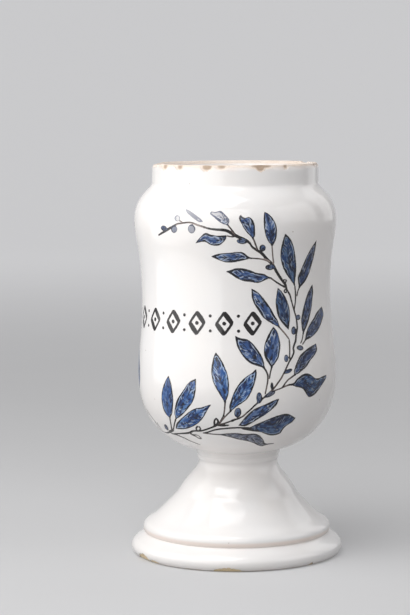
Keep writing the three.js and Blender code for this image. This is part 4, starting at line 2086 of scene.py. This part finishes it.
STALKS: tuple[Stroke, ...] = (
    Stroke(((227.3, 224.6), (230.4, 228.3), (233.2, 231.9), (234.4, 233.5)), (0.52, 0.65, 0.52), 0.5),
    Stroke(((226.9, 235.9), (230, 236.6), (233.3, 236.9)), (0.52, 0.52), 0.4),
    Stroke(((252.9, 237.8), (255.2, 243.7), (256.9, 248.1)), (0.65, 0.65, 0.52), 0.5),
    Stroke(((272, 244.8), (272.6, 255.3), (273.5, 262.5)), (0.52, 0.52, 0.65), 0.42),
    Stroke(((299.3, 287.4), (297.8, 291.4), (297, 296)), (0.65, 0.52), 0.5),
    Stroke(((251.4, 258.2), (257, 258.6), (263.2, 259.4), (268.6, 261.5)), (0.52, 0.52, 0.52), 0.35),
    Stroke(((270.5, 277.9), (271.7, 278.8), (277.7, 283), (284.4, 287)), (0.65, 0.65, 0.78), 0.55),
    Stroke(((279.5, 327.3), (285, 333.6), (289.2, 339.1)), (0.65, 0.65, 0.52), 0.5),
    Stroke(((303.3, 334.2), (302.3, 339.7), (300.8, 343.2)), (0.52, 0.52), 0.5),
    Stroke(((305.5, 339.9), (304.8, 341.2), (302.8, 344.2)), (0.52, 0.65), 0.6),
    Stroke(
        ((264.1, 367.8), (267.2, 373.1), (268, 378.9), (267, 386), (265.3, 393.7)),
        (0.78, 0.65, 0.52),
        0.5,
    ),
    Stroke(((271.8, 367.6), (270.3, 373.6), (269.6, 378.4)), (0.65, 0.52), 0.5),
    Stroke(((294.9, 375), (288.7, 379.5), (285.8, 382.8), (282.9, 386.7)), (0.65, 0.65, 0.52), 0.55),
    Stroke(((293, 384.5), (289.1, 384.9)), (1.17, 0.65), 0.9),
    Stroke(((289.1, 384.9), (285.8, 386.2), (279.7, 388.9), (270.1, 392.2)), (0.65, 0.52, 0.52), 0.5),
    Stroke(((225.1, 402.6), (224.4, 410.6), (223.4, 416), (220.4, 421.4)), (0.65, 0.52, 0.65), 0.5),
    Stroke(((230.5, 411.3), (225.1, 416.7), (219.1, 424)), (0.65, 0.52, 0.65), 0.55),
    Stroke(((177.9, 219.9), (181.3, 221.8)), (0.52, 0.39), 0.3),
)

RINGS: tuple[Stroke, ...] = (
    Stroke(
        ((284.9, 279.3), (286.5, 280.9), (284.9, 282.5), (283.3, 280.9), (284.7, 279.4)),
        (0.62, 0.66),
        1,
    ),
    Stroke(((285.6, 289.5), (287.2, 291.1), (285.6, 292.7), (284, 291.1), (285.4, 289.6)), (0.62, 0.66), 1),
)

BERRIES: tuple[Berry, ...] = (
    Berry((177.1, 218.3), (2.6, 2.8), 0, 0.12),
    Berry((174, 229.2), (2.8, 3.5), 0, 0.42),
    Berry((191.5, 228.9), (3.5, 4.2), 0, 0.36),
    Berry((163.8, 228.2), (3, 2.4), 20, 0.7),
    Berry((241.9, 241.4), (5.1, 2.4), 5, 0.95),
    Berry((262.5, 248), (3, 3.2), 0, 0.75),
    Berry((269.6, 267.3), (4.2, 2.6), 0, 0.95),
    Berry((298.3, 317.3), (2, 2.5), 0, 0.6),
    Berry((293.8, 330.7), (2.2, 4), 0, 0.7),
    Berry((286.4, 358.4), (2, 3.5), 0, 0.6),
    Berry((300.2, 347.9), (3.3, 2.4), 10, 0.5),
    Berry((288.4, 371.2), (1.7, 4.2), 62, 1),
    Berry((272, 385.9), (1.3, 3.2), 0, 1),
    Berry((270.3, 394.5), (1.8, 5.4), 62, 0.5),
    Berry((259.3, 397.9), (2.7, 5.4), 0, 1),
    Berry((237.8, 412.6), (3.3, 4.7), 10, 0.9),
)

CROSSING_LEAVES: tuple[Leaf, ...] = (
    Leaf(
        "21",
        (273.3, 443.5),
        (
            (265.3, 443.4), (263.3, 440.1), (259.9, 435.8), (254.6, 433.7), (245.2, 434.1), (236.5, 433.1),
            (227.1, 433.4),
        ),
        (218.4, 434.4),
        (
            (266, 444.9), (261.9, 446.1), (257.9, 445.1), (253.2, 442.8), (246.5, 440.8), (238.5, 439.4),
            (230.5, 437.1),
        ),
        (0.9, 0.9),
        Wash.SLATE,
    ),
    Leaf(
        "22",
        (168.7, 375.6),
        ((165.2, 382.2), (163, 388.6), (162, 395.5), (162.3, 402.3), (163.8, 409.2), (166.7, 414.6)),
        (170.1, 417.6),
        ((170.9, 382.2), (172.3, 389.6), (173.3, 398.4), (173.1, 406.7), (172.1, 414.1)),
        (0.95, 1.0),
        Wash.PLAIN,
    ),
    Leaf(
        "23",
        (195.9, 378.8),
        (
            (191.7, 380.7), (187.3, 384.6), (183.9, 390), (180, 395.5), (176.8, 401.3), (175.3, 408.2),
            (174.8, 413.6),
        ),
        (176.3, 418.5),
        ((195.9, 384.6), (195.4, 392), (193.7, 399.4), (190.3, 405.3), (185.9, 410.7), (180.9, 416.1)),
        (0.7, 0.9),
        Wash.AZURE,
    ),
    Leaf(
        "24",
        (211.4, 404.3),
        (
            (207, 405.8), (201.6, 407.5), (195.7, 408.5), (190.3, 411.2), (185.4, 415.1), (180.5, 419.5),
            (177, 423.4),
        ),
        (176, 428.4),
        (
            (208.4, 408.2), (205.5, 413.6), (202.1, 419), (197.6, 423.4), (192.7, 426.4), (186.8, 428.6),
            (181.4, 429.1),
        ),
        (0.9, 0.85),
        Wash.AZURE,
    ),
)

CROSSING_LINES: tuple[Stroke, ...] = (
    Stroke(((241.2, 417.3), (233.3, 420.2), (224.5, 423.3), (217.2, 424.8)), (0.6, 0.7, 0.6), 0.62),
    Stroke(((231.6, 421), (235, 419.4)), (1, 1.2, 0.9), 1),
    Stroke(((228.6, 425.2), (222.5, 425.5), (216.8, 425)), (0.7, 1.2, 1), 1),
    Stroke(
        (
            (217, 425), (214, 426.5), (205, 429.8), (200, 430.9), (193, 431), (188.9, 432.8), (180, 433.5),
            (172.5, 433.8),
        ),
        (1, 0.8, 0.9, 1.2, 0.8, 0.7),
        0.98,
    ),
    Stroke(
        ((249, 427.7), (237, 427.7), (226, 428.4), (216, 429.6), (208, 432), (203.5, 433)),
        (0.7, 0.9, 0.8, 0.6),
        0.95,
    ),
    Stroke(((218, 434.4), (210, 433.8), (203, 433)), (0.6, 0.6, 0.5), 0.5),
    Stroke(((273.3, 443.5), (268, 443.9)), (0.5, 0.8), 0.6),
    Stroke(
        (
            (173.2, 430), (169.6, 432.2), (165.5, 432.6), (161, 429.6), (155.3, 421.5), (151.5, 416.5),
            (148.5, 412), (146.8, 409),
        ),
        (1.3, 1, 0.8, 0.8, 0.7),
        0.9,
    ),
    Stroke(((157.4, 423), (162.4, 430)), (0.5, 0.5), 0.75),
    Stroke(((171, 432.9), (180, 436), (190, 440.6), (200.2, 444.7)), (0.8, 0.9, 0.8, 0.6), 0.92),
)

CROSSING_STALKS: tuple[Stroke, ...] = (
    Stroke(((170.1, 417.6), (171.4, 425.6), (172.2, 430.4)), (0.7, 0.7, 0.8), 0.85),
    Stroke(((176, 418.8), (174.4, 425.5), (173.5, 430.4)), (0.7, 0.6, 0.7), 0.6),
    Stroke(
        ((190.6, 433), (192.7, 434.9), (196.5, 436.6), (199, 438.3), (201.6, 438.4)),
        (1.2, 0.8, 0.6, 0.7),
        0.92,
    ),
    Stroke(((193.6, 434.6), (198, 435.3), (200.6, 437.6)), (0.4, 0.5, 0.4), 0.7),
    Stroke(((198.4, 426), (200.6, 428.5), (198.4, 431), (196.2, 428.5), (198, 426.1)), (0.7, 0.8), 1),
    Stroke(
        ((214.6, 425.2), (214.4, 421.4), (216.2, 418.4), (218.2, 421.6), (216.4, 424.9)),
        (0.9, 0.8, 1),
        1,
    ),
    Stroke(((169.8, 431.3), (173.4, 430.4)), (1.3, 1.5, 1.2), 1),
)

CROSSING_BUDS: tuple[Berry, ...] = (
    Berry((166.6, 427.2), (1.3, 3.2), -30, 0.6),
)


@dataclass
class WreathPart:
    """A part of the wreath. The left branch mirrors the right one about the wreath's middle."""

    name: str
    leaves: tuple[Leaf, ...]
    lines: tuple[Stroke, ...]
    stalks: tuple[Stroke, ...]
    berries: tuple[Berry, ...]
    mirrored: bool = False
    line_height: float = 0.024
    stalk_lift: float = 0.003
    leaf_height: float = 0.038
    leaf_lift: float = 0.0008
    berry_height: float = 0.062

    def draw_lines(self, under: tuple[Film, ...]) -> tuple[Film, ...]:
        """Paints the stem and the leaf stalks.

        Args:
            under: Films of lines that are there already.

        Returns:
            The two new films.
        """
        finish = ManganeseFinish()
        heights = {"stem": self.line_height, "stalks": self.line_height + self.stalk_lift}
        made: tuple[Film, ...] = ()
        for label, strokes in (("stem", self.lines), ("stalks", self.stalks)):
            film = Film(f"{self.name}_{label}", finish, Slot.MANGANESE, heights[label], under=under + made)
            for stroke in strokes:
                stroke.lay(film, self.mirrored)
            film.finish_piece()
            made += (film,)
        return made

    def draw_leaves(self, under: tuple[Film, ...]) -> None:
        """Paints the leaves and the berries over the films of lines."""
        for count, leaf in enumerate(self.leaves):
            name, proud = f"{self.name}_leaf_{leaf.name}", self.leaf_height + self.leaf_lift * count
            film = Film(name, leaf.wash.value, Slot.COBALT, proud, under=under, marks=count)
            leaf.lay(film, self.mirrored)
            film.finish_piece()
        name, finish = f"{self.name}_berries", Wash.BERRY.value
        berries = Film(name, finish, Slot.COBALT, self.berry_height, under=under)
        for berry in self.berries:
            berry.lay(berries, self.mirrored)
        berries.finish_piece()


@dataclass
class BandOrnament:
    """A plain row of lozenges and dots across the middle of the wreath."""

    middle: float = -57.7
    level: float = 141.3
    height: float = 12.4
    width: float = 9.0
    pitch: float = 16.6
    count: int = 9
    thick: float = 2.7
    thin: float = 1.3
    taper: float = 0.75
    dot: float = 2.3
    small: float = 0.8
    apart: float = 0.34
    proud: float = 0.027
    ragged: float = 0.4
    dot_points: int = 11
    dot_faces: int = 6

    def build(self) -> None:
        """Paints the row."""
        finish = ManganeseFinish("manganese_band", ragged=self.ragged)
        film = Film("band_ornament", finish, Slot.MANGANESE, proud=self.proud)
        sheet = Unrolled(float(FORM.radius_at(self.level)))
        centre = math.radians(self.middle) * sheet.radius
        travel = float(FORM.travel_at(self.level))
        step = math.radians(self.pitch) * sheet.radius
        for place in range(self.count):
            across = centre + (place - (self.count - 1) / 2) * step
            left, right = (across - self.width / 2, travel), (across + self.width / 2, travel)
            low, high = (across, travel - self.height / 2), (across, travel + self.height / 2)
            widths = (self.thick, self.thin, self.thick, self.thin)
            for start, end, width in zip((high, right, low, left), (right, low, left, high), widths):
                ribbon(film, sheet, (start, end), (width * self.taper, width, width * self.taper), (1.0, 1.0))
            self.spot(film, sheet, (across, travel), self.dot)
            if place < self.count - 1:
                for rise in (-self.apart * self.height, self.apart * self.height):
                    self.spot(film, sheet, (across + step / 2, travel + rise), self.dot * self.small)
        film.finish_piece()

    def spot(self, film: Film, sheet: Unrolled, place: Point, size: float) -> None:
        """Paints one round dot."""
        left, right = round_sides((size / 2, size / 2), self.dot_points)
        film.mark(sheet, left + place, right + place, (1.0, 1.0), self.dot_faces)


def dress_slip() -> None:
    """Dresses the ring of slip in the joint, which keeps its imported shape."""
    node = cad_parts["luting_slip"]
    finish = SlipFinish().material
    node.data.materials.clear()
    node.data.materials.append(finish)


def main() -> None:
    """Builds the studio and dresses the jar."""
    logging.basicConfig(level=logging.INFO, format="%(name)s: %(message)s")
    bpy.context.scene.view_settings.view_transform = "Standard"
    CAMERA.stand()
    Studio().build()
    for ware in (ClayWare(), InnerGlaze(), OuterGlaze()):
        ware.build()
    dress_slip()
    BandOrnament().build()
    right = WreathPart("right_branch", LEAVES, STEMS, STALKS + RINGS, BERRIES)
    left = WreathPart("left_branch", LEAVES, STEMS, STALKS + RINGS, BERRIES, mirrored=True)
    crossing = WreathPart(
        "crossing", CROSSING_LEAVES, CROSSING_LINES, CROSSING_STALKS, CROSSING_BUDS, line_height=0.030
    )
    lines: tuple[Film, ...] = ()
    for part in (right, left, crossing):
        lines += part.draw_lines(lines)
    for part in (right, left, crossing):
        part.draw_leaves(lines)


if __name__ == "__main__":
    main()
